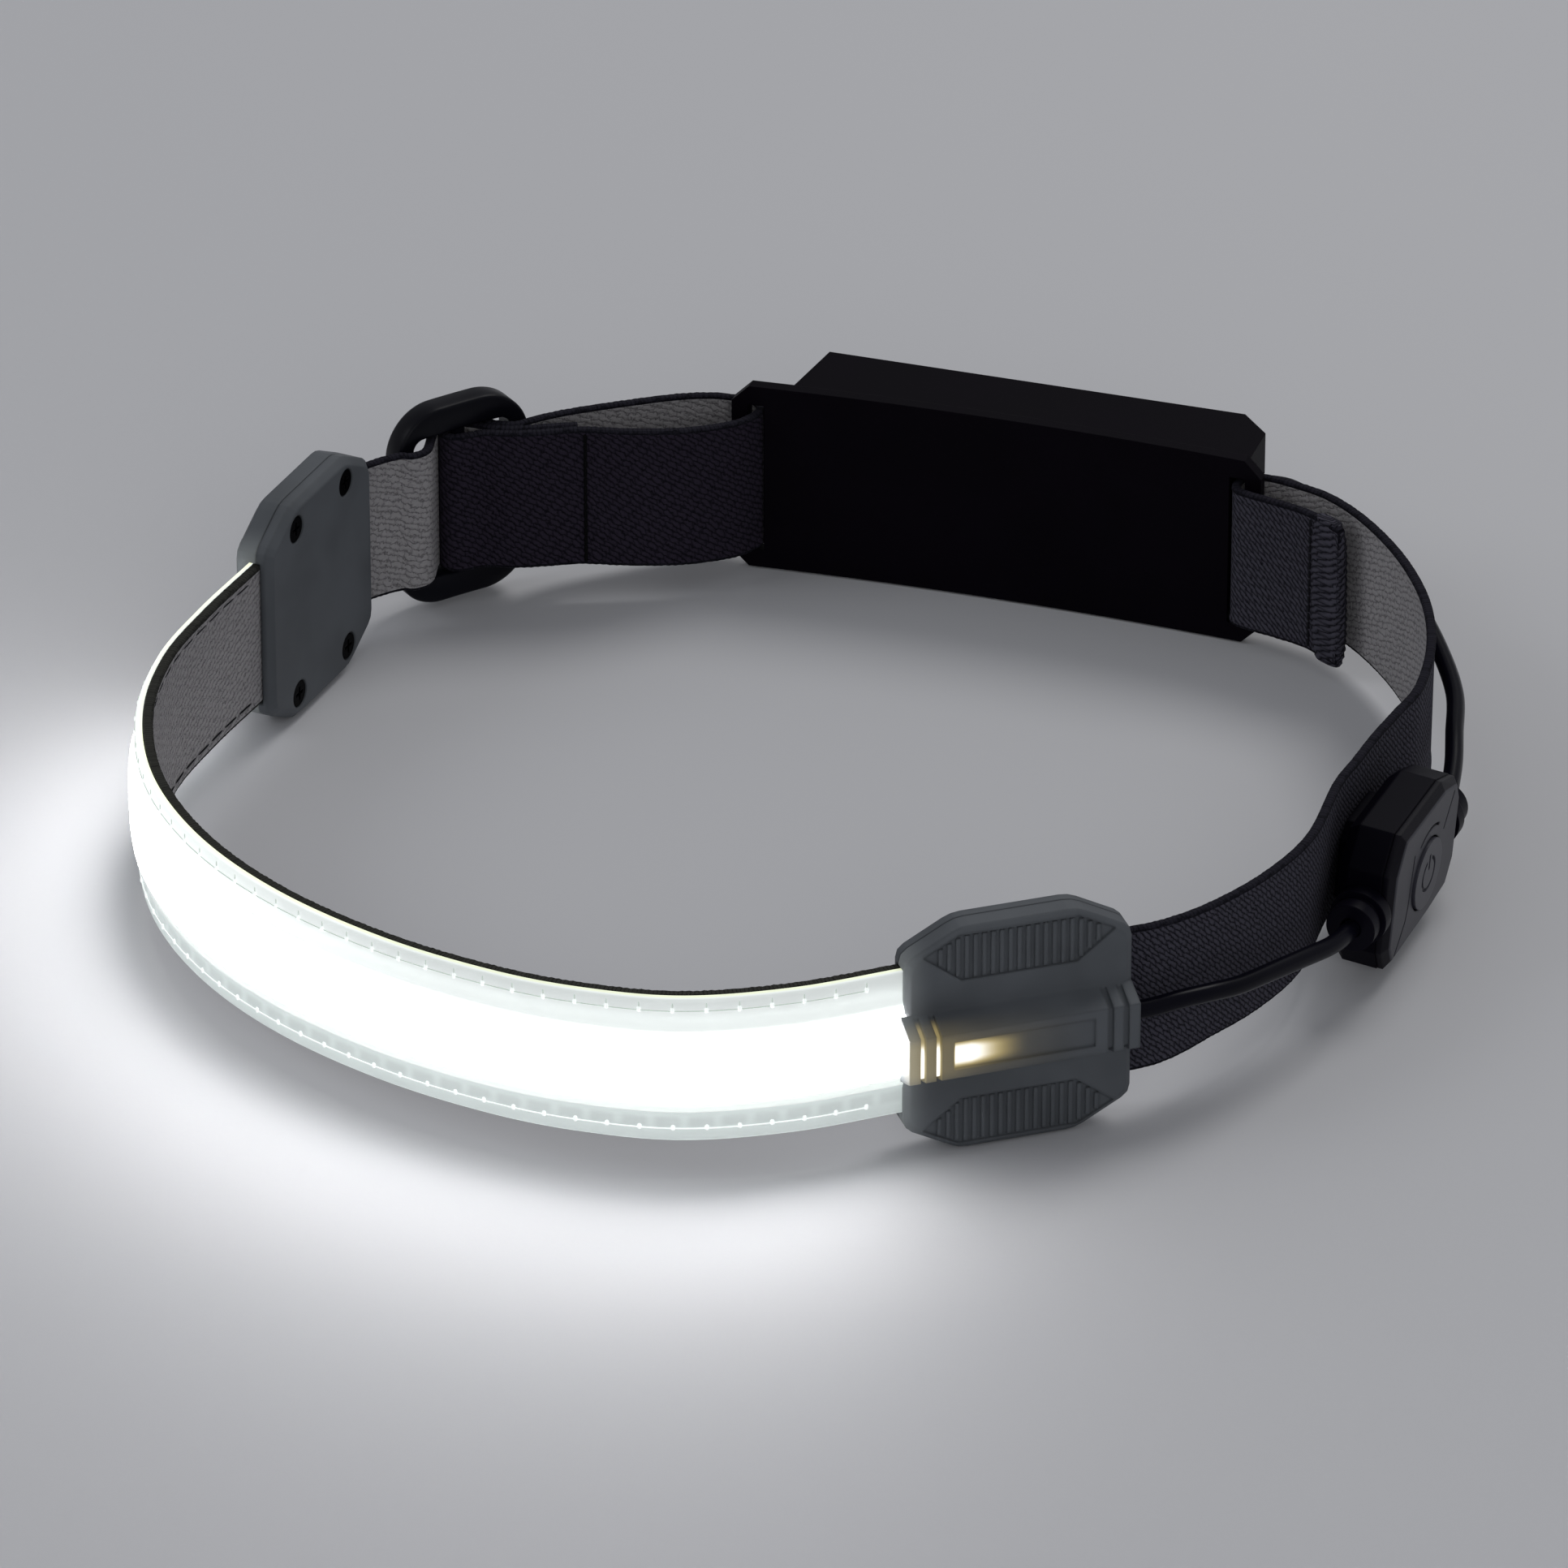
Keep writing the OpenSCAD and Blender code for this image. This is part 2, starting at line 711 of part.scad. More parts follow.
module switch_case() {
    color(black) placed()
        at_switch()
            difference() {
                union() {
                    hull() {
                        slab(switch_outline(1.3), 0, 0.02);
                        slab(switch_outline(0), 1.5, 0.02);
                    }
                    slab(switch_outline(0), 1.5, switch_t - 1.5);
                    // standoff against the band
                    slab(octagon(12, 12, 2, 2), -standoff + 0.15, standoff);
                }
                slab(switch_outline(1.3), 1.6, switch_t);
                // cable glands pass through both ends
                translate([0, gland_y, gland_z])
                    rotate([0, 90, 0])
                        cylinder(d = 3.8, h = 40, center = true, $fn = 32);
                // pilot holes for the backing plate
                for (x = [-3.4, 3.4])
                    translate([x, -1, 3])
                        rotate([90, 0, 0])
                            cylinder(d = 1.6, h = 8, center = true, $fn = 24);
            }
}

// straight groove on the face, from a to b
module groove(a, b) {
    n = unit([b.y - a.y, a.x - b.x]) * 0.18;
    slab([a - n, b - n, b + n, a + n], switch_t + cover_t - 0.3, 1);
}

// front plate with a bevelled rim, a button hole and engraved lines round it
module switch_cover() {
    color(charcoal) placed()
        at_switch()
            difference() {
                union() {
                    slab(switch_outline(0.1), switch_t + gap, 0.7);
                    hull() {
                        slab(switch_outline(0.1), switch_t + 0.73, 0.02);
                        slab(switch_outline(1.3), switch_t + cover_t - 0.02, 0.02);
                    }
                }
                translate([0, switch_t, button_z])
                    rotate([90, 0, 0])
                        cylinder(d = button_d + 0.5, h = 10, center = true);
                groove([-5.4, 4.4], [-6, -2.4]);
                groove([-6, -2.4], [-6.6, -4.6]);
                groove([-6.6, -4.6], [-9.6, -8]);
                groove([5.4, 2.6], [8.4, 6.6]);
                translate([0, switch_t + cover_t - 0.3, button_z])
                    rotate([-90, 0, 0])
                        linear_extrude(1)
                            intersection() {
                                difference() {
                                    circle(6.6);
                                    circle(6.2);
                                }
                                polygon([[0, 0], [5, -8], [-5, -8]]);
                            }
            }
}

module power_button() {
    color(charcoal) placed()
        at_switch()
            translate([0, 0, button_z])
                difference() {
                    union() {
                        translate([0, switch_t + cover_t + 0.35, 0])
                            rotate([90, 0, 0])
                                cylinder(d = button_d, h = 2.2);
                        translate([0, switch_t - 0.04, 0])
                            rotate([90, 0, 0])
                                cylinder(d = button_d + 1.6, h = 0.5);
                        translate([0, switch_t - 0.5, 0])
                            rotate([90, 0, 0])
                                cylinder(d = 2, h = 1.05, $fn = 32);
                    }
                    // engraved power sign: open ring and a bar
                    translate([0, switch_t + cover_t + 0.1, 0])
                        rotate([-90, 0, 0])
                            linear_extrude(1)
                                difference() {
                                    circle(2.4);
                                    circle(1.9);
                                    translate([-0.8, -3])
                                        square([1.6, 3]);
                                }
                    translate([-0.25, switch_t + cover_t + 0.1, 0.6])
                        cube([0.5, 1, 2.2]);
                }
}

module switch_board() {
    color(board_green) placed()
        at_switch()
            slab(switch_outline(2.8), 1.7, 0.6);
}

// dome switch under the button, its body and its stem
module tact_switch() {
    color(steel) placed()
        at_switch() {
            translate([-2.2, 2.35, button_z - 2.2])
                cube([4.4, 1.2, 4.4]);
            translate([0, 3.55, button_z])
                rotate([-90, 0, 0])
                    cylinder(d = 1.8, h = 0.55, $fn = 32);
        }
}

// ribbed cable gland on an end of the switch, s is the end and reach its distance from the middle
module gland(s, reach) {
    scale([s, 1, 1])
        translate([reach, gland_y, gland_z])
            rotate([0, 90, 0])
                difference() {
                    union() {
                        cylinder(d = 7.4, h = 1.9);
                        translate([0, 0, 1.9])
                            cylinder(d = 5.6, h = 0.8);
                        translate([0, 0, 2.7])
                            cylinder(d = 6.4, h = 1.9);
                        translate([0, 0, -2])
                            cylinder(d = 3.6, h = 2.2, $fn = 32);
                    }
                    translate([0, 0, -3])
                        cylinder(d = cable_d + 0.3, h = 9, $fn = 32);
                }
}

module near_gland() {
    color(black) placed()
        at_switch()
            gland(-1, 12.85);
}

module far_gland() {
    color(black) placed()
        at_switch()
            gland(1, 11.85);
}

// plate inside the loop that clamps the band to the switch
module switch_plate() {
    color(black) placed()
        at_switch()
            difference() {
                slab(octagon(12, 12, 2, 2), -standoff - band_t - 1.75, 1.4);
                for (x = [-3.4, 3.4])
                    translate([x, -standoff - band_t, 3])
                        rotate([90, 0, 0])
                            cylinder(d = 1.8, h = 8, center = true, $fn = 24);
            }
}

// ---------- cables ----------

module front_cable() {
    color(black) placed()
        tube(smooth(front_cable_route, 5), cable_d / 2 - 0.02, 8);
}

module rear_cable() {
    color(black) placed()
        tube(smooth(rear_cable_route, 5), cable_d / 2 - 0.02, 8);
}

front_band();
light_sleeve();
light_board();
sleeve_stitches();
right_clamp_shell();
right_clamp_back();
right_clamp_screws();
driver_board();
left_clamp_shell();
left_clamp_back();
left_clamp_screws();
left_band();
slider();
right_band();
battery_tray();
battery_case();
battery_cell();
charge_board();
charge_socket();
socket_cover();
light_pipe();
switch_case();
switch_cover();
power_button();
switch_board();
tact_switch();
near_gland();
far_gland();
switch_plate();
front_cable();
rear_cable();
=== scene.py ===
"""Strip headlamp: the looks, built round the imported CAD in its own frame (metres)."""
import math

import bpy
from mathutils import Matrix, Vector


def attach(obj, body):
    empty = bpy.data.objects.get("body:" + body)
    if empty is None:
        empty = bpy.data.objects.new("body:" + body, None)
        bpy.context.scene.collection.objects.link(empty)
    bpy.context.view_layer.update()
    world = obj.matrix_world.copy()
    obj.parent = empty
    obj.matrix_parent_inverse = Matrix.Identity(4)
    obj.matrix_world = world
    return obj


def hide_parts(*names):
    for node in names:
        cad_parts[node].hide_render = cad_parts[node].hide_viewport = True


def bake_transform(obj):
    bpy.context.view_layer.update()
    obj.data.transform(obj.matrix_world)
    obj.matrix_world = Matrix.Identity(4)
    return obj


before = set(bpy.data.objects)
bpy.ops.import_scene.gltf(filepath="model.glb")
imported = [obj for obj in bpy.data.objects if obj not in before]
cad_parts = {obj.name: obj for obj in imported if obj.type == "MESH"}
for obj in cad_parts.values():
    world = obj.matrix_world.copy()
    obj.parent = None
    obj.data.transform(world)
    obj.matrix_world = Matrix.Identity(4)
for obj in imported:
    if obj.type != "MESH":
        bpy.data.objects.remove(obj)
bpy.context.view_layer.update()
MM = 0.001
CM_PER_MM = 0.1

# ---------------------------------------------------------------- places in mm and degrees, as in part.scad
CENTRE = Vector((2.7, 0.5, 0.0))
RIGHT_AT, RIGHT_TURN = (42.4, -56.7), 36
LEFT_AT, LEFT_TURN = (-76.1, 20.3), 263
CLAMP_Z = 15.5
SLIDER_AT, SLIDER_TURN, SLIDER_Z = (-66, 50), 50, 15
SWITCH_AT, SWITCH_TURN, SWITCH_Z, SWITCH_LEAN = (70.8, 2.65), 85.5, 11.7, 4.5
BAND_W = 20.0
HALF_BAND = BAND_W / 2
CABLE_RADIUS = 1.18
BAND_STEP, CABLE_STEP = 0.45, 0.8

# ---------------------------------------------------------------- camera and light, in metres
TARGET = Vector((0.0002, -0.0073, 0.014))
AZIMUTH = math.radians(18.0)
ELEVATION = math.radians(29.5)
DISTANCE = 1.6293
FOCAL_LENGTH, SENSOR_WIDTH = 298.1, 36
CLIP_START = 0.1

camera_data = bpy.data.cameras.new("camera")
camera_data.lens = FOCAL_LENGTH
camera_data.sensor_width = SENSOR_WIDTH
camera_data.clip_start = CLIP_START
camera = bpy.data.objects.new("camera", camera_data)
bpy.context.scene.collection.objects.link(camera)
level = math.cos(ELEVATION)
back = Vector((math.sin(AZIMUTH) * level, -math.cos(AZIMUTH) * level, math.sin(ELEVATION)))
camera.location = TARGET + back * DISTANCE
camera.rotation_euler = back.to_track_quat("Z", "Y").to_euler()
bpy.context.scene.camera = camera
bpy.context.scene.view_settings.view_transform = "Standard"


def area_light(name, place, aim, size, power, colour):
    data = bpy.data.lights.new(name, "AREA")
    data.shape = "DISK"
    data.size = size
    data.energy = power
    data.color = colour
    lamp = bpy.data.objects.new(name, data)
    bpy.context.scene.collection.objects.link(lamp)
    lamp.location = place
    lamp.rotation_euler = (Vector(place) - Vector(aim)).to_track_quat("Z", "Y").to_euler()


area_light("key", (0.35, 1.1, 1.5), (0, 0, 0), size=0.9, power=9.0, colour=(1.0, 0.99, 0.98))
area_light("fill", (-1.3, -0.6, 1.1), (0, 0, 0), size=0.8, power=3.0, colour=(0.95, 0.97, 1.0))
area_light("front", (0.8, -1.5, 0.9), (0, 0, 0.01), size=0.7, power=3.2, colour=(1.0, 1.0, 1.0))

world = bpy.data.worlds.new("studio")
bpy.context.scene.world = world
world.use_nodes = True
surroundings = world.node_tree.nodes["Background"].inputs
surroundings["Color"].default_value = (0.93, 0.95, 1.0, 1)
surroundings["Strength"].default_value = 0.30


# ---------------------------------------------------------------- materials
class Nodes:
    """Small helper that wires a material's node tree."""

    MIX_A, MIX_B, MIX_RESULT = 6, 7, 2  # the colour sockets of a Mix node

    def __init__(self, name, base=None):
        self.material = base.copy() if base else bpy.data.materials.new(name)
        self.material.name = name
        self.material.use_nodes = True
        self.tree = self.material.node_tree
        self.shader = self.tree.nodes["Principled BSDF"]

    def add(self, kind, **inputs):
        node = self.tree.nodes.new(kind)
        for key, value in inputs.items():
            self.feed(node.inputs[key.replace("_", " ")], value)
        return node

    def feed(self, socket, value):
        if isinstance(value, bpy.types.NodeSocket):
            self.tree.links.new(value, socket)
        else:
            socket.default_value = value

    def math(self, operation, a, b=0.0):
        node = self.tree.nodes.new("ShaderNodeMath")
        node.operation = operation
        self.feed(node.inputs[0], a)
        self.feed(node.inputs[1], b)
        return node.outputs[0]

    def plus(self, a, b):
        return self.math("ADD", a, b)

    def minus(self, a, b):
        return self.math("SUBTRACT", a, b)

    def times(self, a, b):
        return self.math("MULTIPLY", a, b)

    def size_of(self, a):
        return self.math("ABSOLUTE", a)

    def mix(self, factor, a, b):
        node = self.tree.nodes.new("ShaderNodeMix")
        node.data_type = "RGBA"
        self.feed(node.inputs["Factor"], factor)
        self.feed(node.inputs[self.MIX_A], a)
        self.feed(node.inputs[self.MIX_B], b)
        return node.outputs[self.MIX_RESULT]

    def ramp(self, value, low, high, smooth=True):
        """0 at low and 1 at high, held beyond them."""
        node = self.tree.nodes.new("ShaderNodeMapRange")
        node.interpolation_type = "SMOOTHSTEP" if smooth else "LINEAR"
        self.feed(node.inputs["Value"], value)
        node.inputs["From Min"].default_value = low
        node.inputs["From Max"].default_value = high
        return node.outputs["Result"]

    def noise(self, coords, scale, detail=3.0, rough=0.55):
        node = self.add("ShaderNodeTexNoise", Vector=coords, Scale=scale, Detail=detail, Roughness=rough)
        return node.outputs["Fac"]

    def bump(self, height, strength, distance, normal=None):
        node = self.add("ShaderNodeBump", Strength=strength, Distance=distance, Height=height)
        if normal is not None:
            self.feed(node.inputs["Normal"], normal)
        return node.outputs["Normal"]

    def place(self):
        return self.tree.nodes.new("ShaderNodeTexCoord").outputs["Object"]

    def uv(self):
        return self.tree.nodes.new("ShaderNodeTexCoord").outputs["UV"]

    def split(self, vector):
        return self.add("ShaderNodeSeparateXYZ", Vector=vector).outputs

    def set(self, **inputs):
        for key, value in inputs.items():
            self.feed(self.shader.inputs[key.replace("_", " ")], value)
        return self.material


def rgb(r, g, b):
    return (r, g, b, 1.0)


def scaled(colour, factor):
    return rgb(*[min(1.0, c * factor) for c in colour])


def plastic(name, colour, rough, grain=0.25, edge=0.25 * MM, scale=9000.0, spec=0.5):
    """Moulded plastic: fine spark-eroded grain, slow tone change, rounded edges."""
    cloud_scale, grain_depth, rough_spread = 90.0, 0.04 * MM, 0.12
    n = Nodes(name)
    where = n.place()
    slow = n.noise(where, cloud_scale, 2.0)
    fine = n.noise(where, scale, 2.0)
    rounded = n.add("ShaderNodeBevel", Radius=edge)
    rounded.samples = 4
    normal = n.bump(fine, grain, grain_depth, rounded.outputs["Normal"])
    n.set(Base_Color=n.mix(n.ramp(slow, 0.3, 0.7), scaled(colour, 0.86), scaled(colour, 1.12)))
    n.set(Roughness=n.plus(n.times(slow, rough_spread), rough - rough_spread / 2))
    return n.set(Normal=normal, Specular_IOR_Level=spec)


def metal(name, colour, rough):
    grain_scale, grain_depth = 6000.0, 0.02 * MM
    n = Nodes(name)
    fine = n.noise(n.place(), grain_scale, 2.0)
    n.set(Base_Color=n.mix(fine, scaled(colour, 0.8), rgb(*colour)))
    return n.set(Metallic=1.0, Roughness=rough, Normal=n.bump(fine, 0.15, grain_depth))


def knit(name, low, high, row, float_length, slant, strength, spread=0.5, wander=1.4):
    """Elastic webbing: rows of short slanted floats, from the colour low between them to high on top; the
    yarn's colour with painted shade between the floats and painted highlight on their tops.

    UV is in centimetres, u along the band and v across it. spread is the share of fuzz, and wander is how
    far the rows stray.
    """
    drift_scale, jitter_scale, fuzz_scale, patch_scale = 7.0, 26.0, 60.0, 12.0
    row_shift = 0.37
    row_roundness, end_roundness = 2.4, 4.0
    knit_depth = 0.25 * MM
    n = Nodes(name)
    u, v, _ = n.split(n.uv())
    drift = n.minus(n.noise(n.uv(), drift_scale, 2.0), 0.5)
    jitter = n.minus(n.noise(n.uv(), jitter_scale, 2.0), 0.5)
    drift = n.plus(n.times(drift, wander), n.times(jitter, wander * 0.7))
    tilt = n.plus(n.times(u, slant), n.times(drift, row))
    lines = n.math("DIVIDE", n.plus(v, tilt), row)
    shift = n.plus(n.times(n.math("FLOOR", lines), row_shift), n.times(drift, 0.5))
    floats = n.plus(n.math("DIVIDE", u, float_length), shift)
    across = n.minus(n.math("FRACT", lines), 0.5)
    along = n.minus(n.math("FRACT", floats), 0.5)
    ridge = n.minus(1.0, n.math("POWER", n.size_of(n.times(across, 2.0)), row_roundness))
    ends = n.minus(1.0, n.math("POWER", n.size_of(n.times(along, 2.0)), end_roundness))
    height = n.times(n.math("MAXIMUM", ridge, 0.0), n.plus(n.times(ends, 0.75), 0.25))
    fuzz = n.noise(n.uv(), fuzz_scale, 3.0, 0.7)
    patch = n.noise(n.uv(), patch_scale, 3.0, 0.6)
    height = n.plus(height, n.times(fuzz, spread))
    # yarn colour with painted shade between the floats and painted highlight on their tops, plus random
    # patches
    tone = n.plus(n.ramp(height, 0.1, 1.35), n.times(n.minus(patch, 0.5), 0.5))
    n.set(Base_Color=n.mix(n.math("MAXIMUM", tone, 0.0), rgb(*low), rgb(*high)))
    n.set(Normal=n.bump(height, strength, knit_depth))
    return n.set(Roughness=0.92, Specular_IOR_Level=0.12)


def thread(name, colour, glow=0.0):
    twist_scale, twist_depth = 5200.0, 0.05 * MM
    n = Nodes(name)
    twist = n.noise(n.place(), twist_scale, 2.0)
    n.set(Base_Color=n.mix(twist, scaled(colour, 0.7), rgb(*colour)))
    n.set(Emission_Color=rgb(*colour), Emission_Strength=glow)
    return n.set(Roughness=0.7, Specular_IOR_Level=0.12, Normal=n.bump(twist, 0.3, twist_depth))


clamp_grey = plastic("clamp_grey", (0.094, 0.103, 0.114), 0.55, edge=0.6 * MM, spec=0.30)
case_black = plastic("case_black", (0.0028, 0.0016, 0.0040), 0.5, grain=0.2, spec=0.04)
pod_black = plastic("pod_black", (0.0022, 0.0018, 0.0050), 0.42, edge=0.5 * MM, spec=0.05)
button_grey = plastic("button_grey", (0.046, 0.046, 0.060), 0.36, grain=0.08, spec=0.3)
slider_black = plastic("slider_black", (0.0035, 0.0035, 0.0066), 0.36, grain=0.12, spec=0.13)
gland_black = plastic("gland_black", (0.0036, 0.0030, 0.0075), 0.36, grain=0.1, spec=0.08)
flap_black = plastic(
    "flap_black", (0.010, 0.010, 0.013), 0.62, grain=0.15, edge=0.2 * MM, scale=5000.0, spec=0.4)
cable_black = plastic("cable_black", (0.0028, 0.0026, 0.0065), 0.24, grain=0.03, spec=0.10)
screw_black = plastic("screw_black", (0.0008, 0.0008, 0.0012), 0.42, grain=0.1, spec=0.02)
board_green = plastic("board_green", (0.020, 0.110, 0.055), 0.35)
cell_foil = metal("cell_foil", (0.66, 0.67, 0.70), 0.34)
plated = metal("plated", (0.62, 0.62, 0.64), 0.28)
pipe_clear = plastic("pipe_clear", (0.70, 0.74, 0.76), 0.12, grain=0.0)
knit_out = knit(
    "knit_out", (0.0030, 0.0028, 0.0065), (0.078, 0.075, 0.098),
    row=0.080, float_length=0.13, slant=0.95, strength=1.0, spread=0.6, wander=1.0)
knit_in = knit(
    "knit_in", (0.110, 0.104, 0.110), (0.46, 0.445, 0.455),
    row=0.090, float_length=0.16, slant=0.35, strength=0.9, spread=1.1, wander=1.5)
knit_left = knit(
    "knit_left", (0.0026, 0.0022, 0.0054), (0.034, 0.027, 0.044),
    row=0.085, float_length=0.13, slant=-0.6, strength=1.0, spread=0.7, wander=1.2)
knit_edge = knit(
    "knit_edge", (0.0030, 0.0030, 0.0055), (0.017, 0.016, 0.024),
    row=0.12, float_length=0.06, slant=0.0, strength=0.6)
# selvedge knit with the strip's light painted in: a lighter, yellower copy of knit_edge for the front band
knit_edge_painted_light = knit(
    "knit_edge_painted_light", (0.013, 0.013, 0.012), (0.046, 0.046, 0.040),
    row=0.12, float_length=0.05, slant=0.0, strength=0.9, spread=0.9)
dark_thread = thread("dark_thread", (0.012, 0.012, 0.016))
# near-black thread for the left band's sewn line: dark thread with painted shade of the crease
crease_thread_painted_shade = thread("crease_thread_painted_shade", (0.0007, 0.0006, 0.0012))
# the sleeve's stitch threads: thread colour with the strip's light painted on as glow
pale_thread_painted_glow = thread("pale_thread_painted_glow", (0.90, 0.95, 0.93), 0.66)
soft_thread_painted_glow = thread("soft_thread_painted_glow", (0.62, 0.68, 0.63), 0.42)


def from_axis(n, x, y, at, turn):
    """How far a point lies along a turned place and out of the loop from it."""
    c, s = math.cos(math.radians(turn)), math.sin(math.radians(turn))
    dx = n.minus(x, (at[0] + CENTRE.x) * MM)
    dy = n.minus(y, (at[1] + CENTRE.y) * MM)
    return n.plus(n.times(dx, c), n.times(dy, s)), n.minus(n.times(dx, s), n.times(dy, c))


def pod_cover(name):
    """Grey face inside a black bevelled rim, told apart by the distance out of the band."""
    rim_end, face_start = 7.50 * MM, 7.62 * MM
    face_spec, rim_spec = 0.32, 0.14
    n = Nodes(name, pod_black)
    x, y, z = n.split(n.place())
    _, out = from_axis(n, x, y, SWITCH_AT, SWITCH_TURN)
    lean = math.radians(SWITCH_LEAN)
    rise = n.minus(z, SWITCH_Z * MM)
    out = n.minus(n.times(out, math.cos(lean)), n.times(rise, math.sin(lean)))
    face = n.ramp(out, rim_end, face_start)
    cloud = n.noise(n.place(), 700.0, 3.0)
    grey = n.mix(cloud, rgb(0.036, 0.036, 0.046), rgb(0.050, 0.050, 0.062))
    n.set(Base_Color=n.mix(face, rgb(0.0036, 0.0030, 0.0066), grey))
    return n.set(Specular_IOR_Level=n.plus(n.times(face, face_spec - rim_spec), rim_spec))


def sleeve_silicone():
    """Translucent sleeve: bright over the board, fading towards the sewn edges; v is in centimetres."""
    cell_start, cell_pitch, cell_height = 2.2, 0.39, -0.72
    n = Nodes("sleeve_silicone")
    u, v, _ = n.split(n.uv())
    cloud = n.minus(n.noise(n.uv(), 1.6, 3.0), 0.5)
    upper = n.ramp(v, -0.1, 0.1)
    # above the bar: brighter towards the end where u is low, and towards the bar
    blown = n.plus(n.ramp(u, 13.0, 6.0), n.times(cloud, 0.3))
    top_level = n.plus(n.times(n.math("MAXIMUM", blown, 0.0), 0.34), 0.42)
    top_level = n.plus(top_level, n.times(n.ramp(v, 0.95, 0.55), 0.22))
    # below the bar: a row of faint darker scallops
    cells = n.math("FRACT", n.math("DIVIDE", n.minus(u, cell_start), cell_pitch))
    cells = n.ramp(n.size_of(n.minus(cells, 0.5)), 0.5, 0.25)
    scallop = n.times(cells, n.ramp(n.size_of(n.minus(v, cell_height)), 0.12, 0.03))
    low_level = n.plus(n.times(n.ramp(v, -0.98, -0.5), 0.12), 0.30)
    low_level = n.minus(low_level, n.times(scallop, 0.10))
    glow = n.plus(n.times(top_level, upper), n.times(low_level, n.minus(1.0, upper)))
    rim = n.plus(n.ramp(v, 0.965, 0.99), n.ramp(v, -0.975, -0.992))
    glow = n.plus(glow, n.times(rim, 0.22))
    tone = n.mix(upper, rgb(0.80, 0.90, 0.86), rgb(0.93, 0.98, 0.95))
    tone = n.mix(n.ramp(v, 0.985, 0.998), tone, rgb(0.94, 0.99, 0.62))
    n.set(Base_Color=rgb(0.60, 0.64, 0.63), Roughness=0.30, Specular_IOR_Level=0.4)
    n.set(Emission_Color=tone, Emission_Strength=glow)
    return n.set(Normal=n.bump(n.noise(n.uv(), 14.0, 2.0), 0.12, 0.1 * MM))


def lit_bar():
    """Raised bar of the sleeve: lit core between softer shoulders."""
    core_glow, shoulder_glow = 10.5, 0.55
    n = Nodes("lit_bar")
    _, v, _ = n.split(n.uv())
    core = n.times(n.ramp(v, -0.46, -0.37), n.ramp(v, 0.56, 0.42))
    n.set(Base_Color=rgb(0.80, 0.84, 0.82), Roughness=0.3)
    n.set(Emission_Color=n.mix(core, rgb(0.88, 0.96, 0.90), rgb(1.0, 0.99, 0.985)))
    return n.set(Emission_Strength=n.plus(n.times(core, core_glow), shoulder_glow))


def phosphor():
    """Coat of the light board."""
    n = Nodes("phosphor")
    grain = n.noise(n.place(), 1400.0, 2.0)
    n.set(Base_Color=n.mix(grain, rgb(0.82, 0.60, 0.12), rgb(0.95, 0.78, 0.25)), Roughness=0.5)
    n.set(Normal=n.bump(grain, 0.2, 0.05 * MM))
    return n.set(Emission_Color=rgb(1.0, 0.95, 0.8), Emission_Strength=2.0)


def clamp_plastic(name, at, turn, lit_end):
    """Clamp plastic with the strip's light painted on as glow: amber on the channel at the end where the
    light strip goes in.
    """
    channel_low, channel_top = 3.3 * MM, 5.0 * MM
    groove_at, groove_apart, groove_z = 12.4 * MM, 1.0 * MM, 14.7 * MM
    groove_start, groove_full = 10.5 * MM, 11.0 * MM
    clamp_end = 15.2 * MM
    n = Nodes(name, clamp_grey)
    x, y, z = n.split(n.place())
    along, out = from_axis(n, x, y, at, turn)
    along = n.times(along, lit_end)
    up = n.size_of(n.minus(z, CLAMP_Z * MM))
    raised = n.ramp(out, channel_low, channel_top)
    # painted glow of the strip in two thin grooves of the channel, brightest below its middle
    below = n.size_of(n.minus(z, groove_z))
    groove = n.size_of(n.minus(n.size_of(n.minus(along, groove_at)), groove_apart))
    groove = n.ramp(groove, 0.40 * MM, 0.14 * MM)
    hot_part = n.plus(n.times(n.ramp(below, 3.4 * MM, 0.8 * MM), 1.5), 0.22)
    glow = n.times(n.times(groove, hot_part), n.ramp(along, groove_start, groove_full))
    # painted warm glow on the plastic round the grooves
    painted_warm_glow = n.math("POWER", n.ramp(along, 6.0 * MM, clamp_end, False), 1.6)
    glow = n.plus(glow, n.times(painted_warm_glow, n.times(n.ramp(up, 5.0 * MM, 1.5 * MM), 0.13)))
    # painted light of the strip: glare on the end of the long panel, and the glow that trails off along the
    # channel
    inside = n.times(n.ramp(along, 9.6 * MM, 9.2 * MM), n.ramp(up, 2.1 * MM, 0.5 * MM))
    painted_panel_glare = n.math("POWER", n.ramp(along, -0.5 * MM, 7.2 * MM, False), 2.2)
    glow = n.plus(glow, n.times(painted_panel_glare, n.times(inside, 1.5)))
    trail = n.math("POWER", n.ramp(along, -9.0 * MM, 9.4 * MM, False), 2.0)
    trail = n.times(trail, n.times(n.ramp(up, 4.4 * MM, 1.6 * MM), 0.09))
    glow = n.times(n.plus(glow, trail), raised)
    # painted cool light of the strip on the whole end of the clamp
    painted_strip_spill = n.times(n.math("POWER", n.ramp(along, groove_start, clamp_end, False), 2.2), 0.12)
    amber = n.mix(n.ramp(glow, 0.25, 1.2), rgb(0.86, 0.66, 0.24), rgb(1.0, 0.96, 0.84))
    share = n.math("DIVIDE", glow, n.plus(n.plus(glow, painted_strip_spill), 0.0001))
    n.set(Emission_Color=n.mix(share, rgb(0.86, 0.93, 0.92), amber))
    return n.set(Emission_Strength=n.plus(glow, painted_strip_spill))


# ---------------------------------------------------------------- routes in mm, the same as the CAD's
def from_place(at, turn, x, y, z):
    a = math.radians(turn)
    q = Vector(at) + Vector((x * math.cos(a) - y * math.sin(a), x * math.sin(a) + y * math.cos(a)))
    return (q.x, q.y, z)


